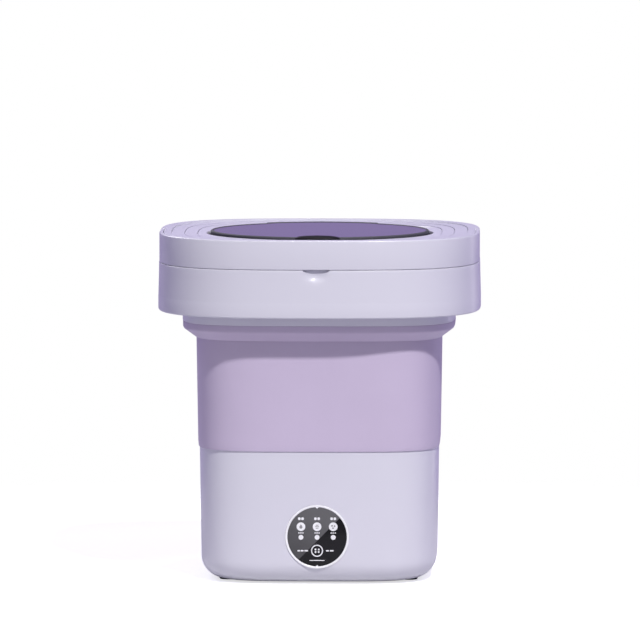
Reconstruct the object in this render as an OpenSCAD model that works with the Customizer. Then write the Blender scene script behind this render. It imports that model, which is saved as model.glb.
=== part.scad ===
// Portable folding top load washing machine: collapsible tub, swing handle, smoked lid.
// Millimetres. Floor at z = 0, front is -Y, +Z up, origin under the middle of the machine.

/* [Rim] */

// Half width of the rim at the handle band
rim_half = 139; // [130:0.5:150]
// Squareness of the rim outline, as a superellipse exponent
rim_square = 3.0; // [2.4:0.1:5]
// Height of the rim's upper edge
rim_top = 300; // [280:1:320]
// Height of the seam between the handle band and the skirt
seam_z = 274.5; // [260:0.5:285]
// Height of the rim's lower edge
rim_bottom = 233; // [220:1:245]
// How far the skirt flares out at its lower edge
skirt_flare = 1.0; // [0:0.1:3]
// Depth of the lid plate below the rim's upper edge
plate_drop = 2.5; // [1:0.1:5]
// Underside of the lid plate, below the rim's upper edge
plate_under = 5.5; // [4:0.5:9]

/* [Base and tub] */

// Half width of the base at its upper edge
base_half = 103.75; // [98:0.25:108]
// Draft of the base from upper to lower edge
base_draft = 1.75; // [0:0.05:4]
// Squareness of the base and tub outline
base_square = 4.2; // [3:0.1:6]
// Height of the base's upper edge
base_top = 119; // [100:1:125]
// Rounding of the base's lower edge
base_round = 18; // [8:1:24]
// Height of the underside above the floor
foot_h = 1.5; // [1.5:0.5:6]
// Radius of the rubber feet
foot_r = 8.2; // [5:0.1:9]
// Position of the feet to each side
foot_x = 78; // [60:1:78]
// Position of the feet to front and back
foot_y = 50; // [40:1:60]
// Wall thickness of the base
base_wall = 2.5; // [1.5:0.1:4]
// Half width of the soft tub wall under the collar
wall_half = 106.5; // [104:0.25:110]
// Thickness of the soft tub wall
soft_wall = 2.0; // [1:0.1:3]
// Half width of the collar under the rim
collar_half = 118; // [112:0.5:124]
// Height of the collar's lower edge
collar_low = 211; // [200:1:214]
// Height of the chamfer under the collar
collar_chamfer = 8; // [5:0.5:9]

/* [Lid] */

// Radius of the opening in the lid plate
mouth_r = 98.5; // [90:0.5:105]
// Radius of the smoked lid
lid_r = 95; // [85:0.5:100]
// Upper face of the lid
lid_top = 299.4; // [297:0.1:302]
// Thickness of the smoked lid
lid_t = 3; // [2:0.1:5]
// Distance of the lid hinge behind the centre
lid_hinge_y = 87; // [80:0.5:92]
// Height of the lid hinge
lid_hinge_z = 295.6; // [292:0.1:297]
// Half width of the lid's rear tongue
tongue_half = 49; // [30:1:60]
// Radius of the tongue's rear edge
tongue_r = 91.6; // [80:0.1:100]

/* [Handle] */

// Thickness of the handle band
bail_t = 3.2; // [2.5:0.1:6]
// Distance of the handle pivots behind the centre
bail_y = 7.5; // [0:0.5:20]
// Height of the handle pivots
bail_z = 292.5; // [285:0.5:296]
// Radius of the handle pivot pins
bail_pin_r = 1.9; // [1:0.1:3]

/* [Drive] */

// Radius of the drive shaft
shaft_r = 4; // [3:0.5:6]
// Belt radius of the drum pulley
drum_belt_r = 32; // [20:1:40]
// Belt radius of the motor pulley
motor_belt_r = 8; // [5:1:15]
// Height of the middle of the belt
belt_z = 38; // [25:1:60]
// Distance of the motor from the drive shaft
motor_dist = 58; // [50:1:70]
// Direction of the motor, degrees from +X
motor_angle = 150; // [120:5:170]
// Radius of the motor
motor_r = 21; // [15:1:25]

/* [Basket] */

// Radius of the basket floor
basket_floor_r = 66; // [55:1:75]
// Radius of the basket under its ring
basket_top_r = 75; // [65:1:85]
// Height of the basket floor
basket_z = 107; // [104:1:112]
// Height of the basket wall's upper edge
basket_top_z = 150; // [135:1:154]
// Number of radial slots in the basket floor
slot_count = 54; // [24:1:72]
// Number of holes round the basket wall, in each row
hole_count = 24; // [12:1:36]

/* [Control panel and ports] */

// Radius of the control glass
glass_r = 25.5; // [20:0.5:30]
// Height of the control glass
panel_z = 42; // [35:1:60]
// Position of the hose socket to the right
socket_x = 88; // [80:0.5:95]
// Position of the hose socket to the back
socket_y = 67; // [55:0.5:75]
// Radius of the hose socket's bore
socket_bore = 4.7; // [3:0.1:6]
// Radius of the drain spigot
spigot_r = 6; // [4:0.5:8]
// Position of the drain spigot to the right
spigot_x = 45; // [30:1:60]
// Height of the drain spigot and the power inlet
port_z = 40; // [30:1:60]
// Position of the power inlet
inlet_x = -50; // [-65:1:-30]

/* [Hidden] */

steps = 72;
plate_z = rim_top - plate_drop;
under_z = rim_top - plate_under;
seam_gap = 0.1;
run_gap = 0.3;
floor_z = foot_h + 4;
tub_floor = 101;
recess_r = 66;
collar_top = rim_bottom - 8;
clamp_half = collar_half - 4;
step_in = [10.5, 22, 33];
step_down = [0.9, 1.7, plate_drop];
post_x = 125;
post_y = 40;
base_screw = 44.5;
motor_screw = 12.5;
screw_head_r = 2.8;
thread_r = 1.5;
foot_stem_r = 3;
bearing_r = 11;
bearing_h = 7;
bearing_low = 60;
bearing_high = 86;
bracket_r = 25;
bracket_z = 48;
motor_z = 50.5;
motor_top = 90;
motor_shaft_r = 2.5;
drain_y = 62;
spigot_wall = 1.6;
socket_hole_r = 9;
socket_depth = 18;
motor_x = motor_dist * cos(motor_angle);
motor_y = motor_dist * sin(motor_angle);
socket_r = 7.3;
front_face = -(base_half - base_draft * (base_top - panel_z) / (base_top - foot_h));

lilac = [0.84, 0.82, 0.89];
soft = [0.74, 0.69, 0.81];
dark = [0.05, 0.05, 0.06];
steel = [0.75, 0.76, 0.78];
white = [0.94, 0.94, 0.96];

// Sign that never returns zero, so that outline corners stay defined
function sgn(v) = v < 0 ? -1 : 1;

// Radius of a superellipse of half width 1 in one direction
function sup_r(n, t) = pow(pow(abs(cos(t)), n) + pow(abs(sin(t)), n), -1 / n);

// Outward slope of a superellipse at one of its points, as an unscaled normal
function sup_n(n, p) = [sgn(p[0]) * pow(abs(p[0]), n - 1), sgn(p[1]) * pow(abs(p[1]), n - 1)];

// Outline of half width a moved outwards by off along its normal
function outline(a, n, off = 0) = [
    for (i = [0 : steps - 1])
        let (t = 360 * i / steps)
        let (u = sup_r(n, t) * [cos(t), sin(t)])
        let (g = sup_n(n, u))
        a * u + off * g / norm(g)
];

// Rim and tub outlines, each moved inwards by a wall or step distance
function rim(off) = outline(rim_half, rim_square, off);
function tub(half) = outline(100, base_square, half - 100);

// Belt loop around two pulleys, as a polygon
function belt_loop(big, small, d) = let (w = asin((big - small) / d)) concat(
    [for (a = [90 - w : 7.5 : 270 + w]) [big * cos(a), big * sin(a)]],
    [for (a = [-90 + w : 15 : 90 - w]) [d + small * cos(a), small * sin(a)]]
);

// Straight prism of an outline between two heights
module prism(points, low, high) {
    translate([0, 0, low])
        linear_extrude(high - low)
            polygon(points);
}

// Ring between two outlines
module band(outer, inner, low, high) {
    difference() {
        prism(outer, low, high);
        prism(inner, low - 1, high + 1);
    }
}

// Closed wall swept round a list of [height, outline] pairs, outside upwards then inside down
module wall(rings) {
    n = len(rings);
    points = [for (r = rings) for (p = r[1]) [p[0], p[1], r[0]]];
    faces = [
        for (k = [0 : n - 1])
            for (i = [0 : steps - 1])
                let (k2 = (k + 1) % n)
                let (i2 = (i + 1) % steps)
                for (f = [
                    [k * steps + i, k2 * steps + i, k2 * steps + i2],
                    [k * steps + i, k2 * steps + i2, k * steps + i2]
                ]) f
    ];
    polyhedron(points, faces);
}

module tube(outer, inner, low, high) {
    difference() {
        translate([0, 0, low])
            cylinder(r = outer, h = high - low, $fn = 96);
        translate([0, 0, low - 1])
            cylinder(r = inner, h = high - low + 2, $fn = 96);
    }
}

module rod(r, low, high) {
    translate([0, 0, low])
        cylinder(r = r, h = high - low, $fn = 48);
}

// Cylinder along Y
module rod_y(x, z, r, from, to) {
    translate([x, from, z])
        rotate([-90, 0, 0])
            cylinder(r = r, h = to - from, $fn = 64);
}

// Cylinder along X
module rod_x(y, z, r, from, to) {
    translate([from, y, z])
        rotate([0, 90, 0])
            cylinder(r = r, h = to - from, $fn = 48);
}

module four(x, y) {
    for (sx = [-1, 1])
        for (sy = [-1, 1])
            translate([sx * x, sy * y, 0])
                children();
}

module slab(x0, x1, y0, y1, z0, z1) {
    translate([x0, y0, z0])
        cube([x1 - x0, y1 - y0, z1 - z0]);
}

// ---------------------------------------------------------------- base

module base_shell() {
    low = base_half - base_draft;
    color(lilac)
    difference() {
        union() {
            wall([
                [foot_h, tub(low - base_round)],
                [foot_h + 0.05 * base_round, tub(low - 0.69 * base_round)],
                [foot_h + 0.17 * base_round, tub(low - 0.44 * base_round)],
                [foot_h + 0.42 * base_round, tub(low - 0.18 * base_round)],
                [foot_h + 0.70 * base_round, tub(low - 0.045 * base_round)],
                [foot_h + base_round, tub(low)],
                [base_top, tub(base_half)],
                [base_top, tub(base_half - base_wall)],
                [foot_h + base_round, tub(low - base_wall)],
                [foot_h + 0.5 * base_round, tub(low - 0.35 * base_round)],
                [floor_z, tub(low - base_round + 2)],
                [floor_z, tub(recess_r + 2)],
                [foot_h, tub(recess_r + 2)]
            ]);
            difference() {
                prism(tub(recess_r + 2.5), foot_h, floor_z);
                rod(60, 0, 20);
                rod(recess_r + 0.1, 0, foot_h + 2);
            }
            four(base_screw, base_screw)
                rod(4, floor_z - 0.5, floor_z + 7);
        }
        four(base_screw, base_screw)
            rod(thread_r + 0.05, 0, floor_z + 6);
        four(foot_x, foot_y)
            rod(foot_stem_r + 0.05, 0, floor_z + 1);
        rod_y(0, panel_z, glass_r + 2.1, -120, -90);
        rod_y(spigot_x, port_z, 9.05, 90, 120);
        rod_y(inlet_x, port_z, 6.05, 90, 120);
    }
}

module bottom_cover() {
    color(lilac)
    difference() {
        rod(recess_r, foot_h, foot_h + 2);
        four(base_screw, base_screw)
            rod(thread_r + 0.2, 0, 20);
        for (x = [-30 : 10 : 30])
            slab(x - 2, x + 2, -25, 25, 0, 20);
    }
}

module feet() {
    color(dark)
    four(foot_x, foot_y) {
        rod(foot_r, 0, foot_h);
        rod(foot_stem_r, foot_h, floor_z);
    }
}

module bottom_screws() {
    color(steel)
    four(base_screw, base_screw) {
        rod(screw_head_r, foot_h - 1.2, foot_h);
        rod(thread_r, foot_h, floor_z + 5);
    }
}

module tub_liner() {
    flange = base_half - base_wall - 0.1;
    color(lilac)
    difference() {
        union() {
            prism(tub(flange), base_top - 3, base_top);
            rod(92, tub_floor - 3, base_top - 2.5);
        }
        rod(89.5, tub_floor, base_top + 1);
        rod(14.1, 0, 150);
        translate([spigot_x, drain_y, 0])
            rod(5.6, 0, 150);
    }
}

module bellows() {
    foot = base_half + 0.05;
    color(soft)
    wall([
        [base_top - 3.5, tub(foot)],
        [base_top - 3.5, tub(base_half + 1.1)],
        [base_top - 0.5, tub(base_half + 1.6)],
        [base_top + 1.5, tub(base_half + 1.3)],
        [collar_low, tub(wall_half)],
        [collar_top + 0.2, tub(wall_half)],
        [collar_top + 0.2, tub(clamp_half - 0.1)],
        [collar_top + 2.2, tub(clamp_half - 0.1)],
        [collar_top + 2.2, tub(wall_half - soft_wall)],
        [collar_low, tub(wall_half - soft_wall)],
        [base_top + 6, tub(base_half - 0.9)],
        [base_top + 0.1, tub(base_half - 1.1)],
        [base_top + 0.1, tub(foot)]
    ]);
}

module clamp_lower() {
    outer = base_half - 1.3;
    color(white)
    band(tub(outer), tub(outer - 4), base_top, base_top + 4);
}

module bearing_housing() {
    color(steel)
    difference() {
        union() {
            rod(14, bearing_low - 2, tub_floor + 3);
            rod(26, tub_floor - 6, tub_floor - 3);
        }
        rod(9, bearing_low - 3, 120);
        rod(bearing_r, bearing_low - 3, bearing_low + bearing_h);
        rod(bearing_r, bearing_high, bearing_high + bearing_h);
    }
}

module bearing_upper() {
    color(steel)
    tube(bearing_r, shaft_r + 0.05, bearing_high, bearing_high + bearing_h);
}

module bearing_lower() {
    color(steel)
    tube(bearing_r, shaft_r + 0.05, bearing_low, bearing_low + bearing_h);
}

module shaft_seal() {
    color(dark)
    tube(9, shaft_r + 0.06, 97, 102);
}

module at_motor() {
    translate([motor_x, motor_y, 0])
        rotate([0, 0, motor_angle])
            children();
}

module motor_bracket() {
    color(steel)
    at_motor()
    difference() {
        union() {
            rod(bracket_r, bracket_z, motor_z);
            for (p = [[bracket_r, 0], [0, bracket_r], [0, -bracket_r]])
                translate([p[0], p[1], 0])
                    rod(4, floor_z, motor_z);
        }
        rod(6, 40, 60);
        for (s = [-1, 1])
            translate([0, s * motor_screw, 0])
                rod(thread_r + 0.1, 40, 60);
    }
}

module motor_body() {
    color(steel)
    at_motor()
    difference() {
        union() {
            rod(motor_r, motor_z, motor_top);
            rod(5.5, motor_z - 1.5, motor_z);
            rod(7, motor_top, motor_top + 2.5);
        }
        rod(motor_shaft_r + 0.06, 40, motor_top + 3);
        for (s = [-1, 1])
            translate([0, s * motor_screw, 0])
                rod(thread_r + 0.05, 40, 57);
    }
}

module motor_screws() {
    color(steel)
    at_motor()
    for (s = [-1, 1])
        translate([0, s * motor_screw, 0]) {
            rod(screw_head_r, bracket_z - 1.5, bracket_z);
            rod(thread_r, bracket_z, bracket_z + 8);
        }
}

module drive_belt() {
    color(dark)
    rotate([0, 0, motor_angle])
        band(
            belt_loop(drum_belt_r + 2.8, motor_belt_r + 2.8, motor_dist),
            belt_loop(drum_belt_r + 0.35, motor_belt_r + 0.35, motor_dist),
            belt_z - 2.4,
            belt_z + 2.4
        );
}

module drain_elbow() {
    color(white)
    difference() {
        union() {
            translate([spigot_x, drain_y, 0])
                rod(7.5, port_z - 8, tub_floor - 3);
            rod_y(spigot_x, port_z, 6, drain_y + 2, 88);
        }
        translate([spigot_x, drain_y, 0])
            rod(5.5, port_z - 5.5, tub_floor);
        rod_y(spigot_x, port_z, spigot_r - spigot_wall, drain_y + 2, 89);
    }
}

module drain_strainer() {
    color(steel)
    translate([spigot_x, drain_y, 0])
    difference() {
        rod(8.5, tub_floor, tub_floor + 1.2);
        for (a = [0 : 60 : 300])
            rotate([0, 0, a])
                translate([4, 0, 0])
                    rod(1.1, 90, 120);
        rod(1.1, 90, 120);
    }
}

module drain_spigot() {
    color(white)
    difference() {
        union() {
            rod_y(spigot_x, port_z, spigot_r, 104.8, 116);
            rod_y(spigot_x, port_z, spigot_r - 0.3, 88, 105);
            rod_y(spigot_x, port_z, 7.4, 88, 91);
        }
        rod_y(spigot_x, port_z, spigot_r - spigot_wall, 87, 117);
    }
}

module drain_grommet() {
    color(dark)
    difference() {
        union() {
            rod_y(spigot_x, port_z, 9, 97, 104.5);
            rod_y(spigot_x, port_z, 11, 102.6, 104.5);
        }
        rod_y(spigot_x, port_z, spigot_r - 0.25, 90, 120);
    }
}

module power_inlet() {
    color(dark)
    difference() {
        union() {
            rod_y(inlet_x, port_z, 6, 90, 104.5);
            rod_y(inlet_x, port_z, 8, 89, 93);
        }
        difference() {
            rod_y(inlet_x, port_z, 3.2, 95, 110);
            rod_y(inlet_x, port_z, 1, 94, 103);
        }
    }
}

module inlet_nut() {
    color(steel)
    difference() {
        translate([inlet_x, 102.6, port_z])
            rotate([-90, 0, 0])
                cylinder(r = 8.6, h = 2.2, $fn = 6);
        rod_y(inlet_x, port_z, 6.05, 100, 120);
    }
}

// ---------------------------------------------------------------- control panel

module panel_ring() {
    color(white)
    difference() {
        rod_y(0, panel_z, glass_r + 2, front_face - 0.7, front_face + 5);
        rod_y(0, panel_z, glass_r + 0.1, front_face - 2, front_face + 6);
    }
}

module panel_glass() {
    color(dark)
    rod_y(0, panel_z, glass_r, front_face - 0.5, front_face + 1.5);
}

module panel_housing() {
    color(white)
    difference() {
        union() {
            rod_y(0, panel_z, glass_r, front_face + 1.5, front_face + 3.5);
            intersection() {
                rod_y(0, panel_z, glass_r + 5, front_face + 5, front_face + 7);
                slab(-50, 50, -120, -80, panel_z - 19, panel_z + 50);
            }
            rod_y(0, panel_z, glass_r, front_face + 3, front_face + 7);
            for (s = [-1, 1])
                rod_y(s * 18, panel_z, 3.5, front_face + 6, front_face + 11);
        }
        slab(-14, 14, front_face + 3.5, front_face + 12, panel_z - 13, panel_z + 13);
        for (s = [-1, 1])
            rod_y(s * 18, panel_z, 1.3, front_face + 6, front_face + 12);
    }
}

module control_board() {
    color([0.1, 0.35, 0.2])
    difference() {
        slab(-22, 22, front_face + 11, front_face + 12.6, panel_z - 18, panel_z + 18);
        for (s = [-1, 1])
            rod_y(s * 18, panel_z, 1.4, front_face + 8, front_face + 15);
    }
}

module board_components() {
    y0 = front_face + 12.6;
    color(dark) {
        slab(-9, 3, y0, y0 + 2, panel_z - 2, panel_z + 10);
        slab(-12, 6, y0, y0 + 7, panel_z - 16, panel_z - 8);
        rod_y(13, panel_z + 11, 4.5, y0, y0 + 6);
        rod_y(12, panel_z - 11, 4, y0, y0 + 11);
    }
}

module board_screws() {
    color(steel)
    for (s = [-1, 1]) {
        rod_y(s * 18, panel_z, 1.25, front_face + 7, front_face + 12.6);
        rod_y(s * 18, panel_z, 2.5, front_face + 12.6, front_face + 14);
    }
}

// ---------------------------------------------------------------- rotor

module drive_shaft() {
    color(steel)
    rod(shaft_r, belt_z - 9, basket_z + 11);
}

module drum_pulley() {
    r = drum_belt_r;
    color(white)
    rotate_extrude($fn = 96)
        polygon([
            [shaft_r + 0.02, belt_z - 7],
            [12, belt_z - 7],
            [12, belt_z - 5.5],
            [r + 3, belt_z - 5.5],
            [r + 3, belt_z - 3.4],
            [r, belt_z - 2.8],
            [r, belt_z + 2.8],
            [r + 3, belt_z + 3.4],
            [r + 3, belt_z + 5.5],
            [12, belt_z + 5.5],
            [12, belt_z + 8],
            [shaft_r + 0.02, belt_z + 8]
        ]);
}

module drive_plate() {
    color(white)
    tube(30, shaft_r + 0.02, basket_z - 3, basket_z);
}

module spin_basket() {
    t = 1.8;
    color(white)
    difference() {
        rotate_extrude($fn = 96)
            polygon([
                [shaft_r + 0.02, basket_z],
                [basket_floor_r, basket_z],
                [basket_top_r, basket_top_z],
                [basket_top_r - t, basket_top_z],
                [basket_floor_r - t, basket_z + 2.5],
                [shaft_r + 0.02, basket_z + 2.5]
            ]);
        for (i = [0 : slot_count - 1])
            rotate([0, 0, 360 * i / slot_count])
                slab(32, 61, -0.7, 0.7, basket_z - 1, basket_z + 4);
        for (row = [0 : 2])
            for (i = [0 : hole_count - 1])
                rotate([0, 0, 360 * (i + row / 2) / hole_count])
                    rod_x(0, basket_z + 12 + 11 * row, 2.2, 60, 80);
    }
}

module basket_ring() {
    z = basket_top_z;
    color(white)
    rotate_extrude($fn = 96)
        polygon([
            [basket_top_r - 2.2, z],
            [basket_top_r + 1.2, z],
            [basket_top_r + 2, z + 1],
            [basket_top_r + 2, z + 3],
            [basket_top_r + 1, z + 4],
            [basket_top_r - 1.4, z + 4],
            [basket_top_r - 2.2, z + 3]
        ]);
}

module pulsator() {
    z = basket_z + 2.5;
    color(lilac)
    difference() {
        union() {
            rotate_extrude($fn = 96)
                polygon([
                    [0, z],
                    [30, z],
                    [30, z + 1.5],
                    [16, z + 3],
                    [14.5, z + 11],
                    [12.5, z + 13],
                    [0, z + 13]
                ]);
            for (a = [8, 130, 250])
                rotate([0, 0, a]) {
                    prism([[12, -4], [36, -4], [36, 4], [12, 4]], z, z + 9.5);
                    prism([[34, -4], [60, -9], [62, 0], [60, 7], [34, 4]], z, z + 4);
                    prism([[34, -4], [50, -5], [51, 0], [50, 4.5], [34, 4]], z + 3.5, z + 7);
                }
        }
        rod(shaft_r + 0.05, 0, basket_z + 11.1);
        rod(1.6, 0, z + 14);
    }
}

module pulsator_screw() {
    z = basket_z + 15.5;
    color(steel)
    rotate_extrude($fn = 48)
        polygon([[0, z - 4.4], [1.55, z - 4.4], [1.55, z], [6, z], [5.4, z + 1.6], [0, z + 2.2]]);
}

// ---------------------------------------------------------------- motor rotor

module motor_shaft() {
    color(steel)
    at_motor()
    rod(motor_shaft_r, belt_z - 7, motor_top + 4);
}

module motor_pulley() {
    r = motor_belt_r;
    color(white)
    at_motor()
    rotate_extrude($fn = 64)
        polygon([
            [motor_shaft_r + 0.02, belt_z - 5.5],
            [r + 3, belt_z - 5.5],
            [r + 3, belt_z - 3.4],
            [r, belt_z - 2.8],
            [r, belt_z + 2.8],
            [r + 3, belt_z + 3.4],
            [r + 3, belt_z + 5.5],
            [motor_shaft_r + 0.02, belt_z + 5.5]
        ]);
}

// ---------------------------------------------------------------- upper frame

// Rear tongue of the lid, or the space it swings in, grown by a gap
module tongue(grow, low, high) {
    side = tongue_half + grow / 2;
    intersection() {
        translate([0, 12, low])
            cylinder(r = tongue_r + grow, h = high - low, $fn = 144);
        slab(-side, side, 60, 120, low, high);
    }
}

module top_cover() {
    front = bail_y + 8.1;
    color(lilac)
    difference() {
        union() {
            difference() {
                union() {
                    intersection() {
                        prism(rim(0), seam_z + seam_gap, rim_top);
                        slab(-200, 200, front, 200, 0, 400);
                    }
                    intersection() {
                        prism(rim(-bail_t - 0.6), seam_z + seam_gap, rim_top);
                        slab(-200, 200, -200, front + 1, 0, 400);
                    }
                }
                intersection() {
                    prism(rim(-2.8), 200, under_z);
                    slab(-200, 200, front + 2.5, 200, 0, 400);
                }
                intersection() {
                    prism(rim(-bail_t - 3.1), 200, under_z);
                    slab(-200, 200, -200, front + 3, 0, 400);
                }
                for (i = [0 : 2])
                    prism(rim(-step_in[i]), rim_top - step_down[i], rim_top + 1);
            }
            slab(-60, 60, 80, 109, plate_z - 9, plate_z - 2);
        }
        translate([0, 0, rim_top - 60])
            cylinder(r = mouth_r, h = 61, $fn = 144);
        tongue(2, rim_top - 60, rim_top + 1);
        translate([socket_x, socket_y, 0])
            rod(socket_hole_r, 200, 320);
        rod_x(lid_hinge_y, lid_hinge_z, 1.45, -57.5, 57.5);
        rod_x(bail_y, bail_z, bail_pin_r + 0.05, -150, 150);
        slab(-3.5, 3.5, 130, 132, rim_top - 1.5, rim_top + 1);
    }
}

module mouth_ring() {
    color(lilac)
    difference() {
        union() {
            tube(mouth_r + 2, 91, under_z - 2.5, under_z);
            tube(mouth_r + 2, mouth_r, under_z - 9, under_z);
        }
        slab(-62, 62, 60, 120, 200, 320);
    }
}

module rim_posts() {
    color(lilac)
    difference() {
        four(post_x, post_y)
            rod(4, rim_bottom + 4.5, under_z);
        four(post_x, post_y)
            rod(thread_r + 0.05, rim_bottom, rim_bottom + 20);
    }
}

module rim_skirt() {
    color(lilac)
    difference() {
        wall([
            [rim_bottom, rim(-2)],
            [rim_bottom, rim(skirt_flare)],
            [seam_z, rim(0.3)],
            [seam_z, rim(-bail_t - 3.1)],
            [seam_z - 3, rim(-bail_t - 3.1)],
            [seam_z - 3, rim(-2.7)]
        ]);
        slab(-11.5, 11.5, -150, -rim_half + bail_t, seam_z - 3.2, seam_z + 1);
    }
}

module rim_floor() {
    color(lilac)
    difference() {
        union() {
            prism(rim(-2.9), rim_bottom + 2, rim_bottom + 4.5);
            prism(tub(collar_half + 0.3), collar_top, rim_bottom + 3);
        }
        prism(tub(collar_half - 3.5), collar_top - 5, rim_bottom + 2);
        prism(tub(wall_half + 0.5), collar_top - 5, rim_bottom + 6);
        four(post_x, post_y)
            rod(thread_r + 0.2, rim_bottom, rim_bottom + 20);
    }
}

module collar_ring() {
    inner = wall_half + run_gap;
    color(soft)
    wall([
        [collar_low, tub(inner)],
        [collar_low, tub(inner + 0.6)],
        [collar_low + collar_chamfer, tub(collar_half)],
        [collar_top, tub(collar_half)],
        [collar_top, tub(inner)]
    ]);
}

module clamp_upper() {
    color(white)
    band(tub(clamp_half), tub(wall_half + 0.5), collar_top + 2.5, collar_top + 6.5);
}

module hose_socket() {
    color(white)
    translate([socket_x, socket_y, 0])
    difference() {
        union() {
            rod(socket_r, plate_z - socket_depth - 2, plate_z + 0.4);
            rod(socket_hole_r + 0.9, under_z - 2.5, under_z);
        }
        rod(socket_bore, plate_z - socket_depth, plate_z + 2);
    }
}

module cover_screws() {
    color(steel)
    four(post_x, post_y) {
        rod(screw_head_r, rim_bottom + 0.6, rim_bottom + 2);
        rod(thread_r, rim_bottom + 2, rim_bottom + 19);
    }
}

// ---------------------------------------------------------------- lid

module lid_window() {
    low = lid_top - lid_t;
    color(dark)
    difference() {
        union() {
            rod(lid_r, low, lid_top);
            tongue(0, low, lid_top);
            slab(-tongue_half, tongue_half, 83, 90, lid_hinge_z - 2.6, low + 0.5);
            prism([[-18, -88], [-15, -100.5], [15, -100.5], [18, -88]], plate_z + 0.5, lid_top + 2);
        }
        rod_x(lid_hinge_y, lid_hinge_z, 1.4, -60, 60);
    }
}

module lid_seal() {
    low = lid_top - lid_t;
    color(dark)
    difference() {
        rod(mouth_r - 0.8, plate_z - 2.7, low);
        rod(90, 200, 320);
        slab(-80, 80, lid_hinge_y - 20, 120, 200, 320);
    }
}

module lid_hinge_pins() {
    color(steel)
    for (s = [-1, 1])
        rod_x(lid_hinge_y, lid_hinge_z, 1.39, s > 0 ? 40 : -57, s > 0 ? 57 : -40);
}

// ---------------------------------------------------------------- handle

module handle_bail() {
    color(lilac)
    difference() {
        intersection() {
            band(rim(0), rim(-bail_t), seam_z + run_gap, rim_top);
            union() {
                slab(-200, 200, -200, bail_y, 200, 400);
                rod_x(bail_y, bail_z, 7.5, -200, 200);
                intersection() {
                    slab(-200, 200, -200, bail_y + 7.5, 200, bail_z);
                    rod_x(bail_y, bail_z, bail_z - seam_z - run_gap, -200, 200);
                }
            }
        }
        rod_x(bail_y, bail_z, bail_pin_r + 0.02, -rim_half + 1, rim_half - 1);
    }
}

module handle_pins() {
    inner = rim_half - bail_t - 2.9;
    color(steel)
    for (s = [-1, 1])
        rod_x(bail_y, bail_z, bail_pin_r, s > 0 ? inner : -rim_half + 1.1, s > 0 ? rim_half - 1.1 : -inner);
}

base_shell();
bottom_cover();
feet();
bottom_screws();
tub_liner();
bellows();
clamp_lower();
bearing_housing();
bearing_upper();
bearing_lower();
shaft_seal();
motor_bracket();
motor_body();
motor_screws();
drive_belt();
drain_elbow();
drain_strainer();
drain_spigot();
drain_grommet();
power_inlet();
inlet_nut();
panel_ring();
panel_glass();
panel_housing();
control_board();
board_components();
board_screws();
drive_shaft();
drum_pulley();
drive_plate();
spin_basket();
basket_ring();
pulsator();
pulsator_screw();
motor_shaft();
motor_pulley();
top_cover();
mouth_ring();
rim_posts();
rim_skirt();
rim_floor();
collar_ring();
clamp_upper();
hose_socket();
cover_screws();
lid_window();
lid_seal();
lid_hinge_pins();
handle_bail();
handle_pins();
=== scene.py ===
"""Shells, lid, handle, basket and finishes of a folding top load washer, built round its packed frame."""

import math

import bmesh
import bpy
import numpy as np
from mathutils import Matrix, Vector


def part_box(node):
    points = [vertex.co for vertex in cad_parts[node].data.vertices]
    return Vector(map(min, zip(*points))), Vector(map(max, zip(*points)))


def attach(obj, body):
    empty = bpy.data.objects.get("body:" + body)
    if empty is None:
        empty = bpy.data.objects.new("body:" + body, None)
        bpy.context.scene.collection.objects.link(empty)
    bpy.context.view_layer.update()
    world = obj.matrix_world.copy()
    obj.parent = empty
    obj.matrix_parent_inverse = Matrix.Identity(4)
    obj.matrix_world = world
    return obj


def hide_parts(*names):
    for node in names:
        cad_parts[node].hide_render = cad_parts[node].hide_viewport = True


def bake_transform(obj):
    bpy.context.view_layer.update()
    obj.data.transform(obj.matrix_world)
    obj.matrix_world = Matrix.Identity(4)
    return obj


bl_info = {
    "name": "Folding Top Load Washer",
    "version": (1, 0, 0),
    "blender": (4, 5, 0),
    "location": "3D View > Sidebar > Washer",
    "description": "Builds the shells, lid, handle, basket and finishes of a folding washer round its frame",
    "category": "Add Mesh",
}

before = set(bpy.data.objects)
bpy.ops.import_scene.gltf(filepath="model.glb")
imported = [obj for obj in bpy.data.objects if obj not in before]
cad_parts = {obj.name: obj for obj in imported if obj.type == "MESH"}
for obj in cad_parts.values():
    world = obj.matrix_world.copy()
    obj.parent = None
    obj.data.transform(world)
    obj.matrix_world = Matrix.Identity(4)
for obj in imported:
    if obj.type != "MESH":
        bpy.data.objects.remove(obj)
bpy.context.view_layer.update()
MM = 0.001
TURN = 2 * math.pi
FRONT = -math.pi / 2


# ------------------------------------------------------------------ sizes and colours


def low(node, axis):
    """Lowest place of a frame node along X, Y or Z."""
    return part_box(node)[0]["XYZ".index(axis)]


def high(node, axis):
    """Highest place of a frame node along X, Y or Z."""
    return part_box(node)[1]["XYZ".index(axis)]


def middle_of(node):
    """Middle of a frame node's box, in millimetres."""
    near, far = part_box(node)
    return [(a + b) / 2 / MM for a, b in zip(near, far)]


def length(name, description, default):
    """A length property in metres."""
    return bpy.props.FloatProperty(
        name=name, description=description, default=default, unit="LENGTH", precision=5
    )


def colour(name, description, default):
    """A colour property, scene linear."""
    return bpy.props.FloatVectorProperty(
        name=name, description=description, default=default, subtype="COLOR", size=3, min=0, max=1
    )


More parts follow.
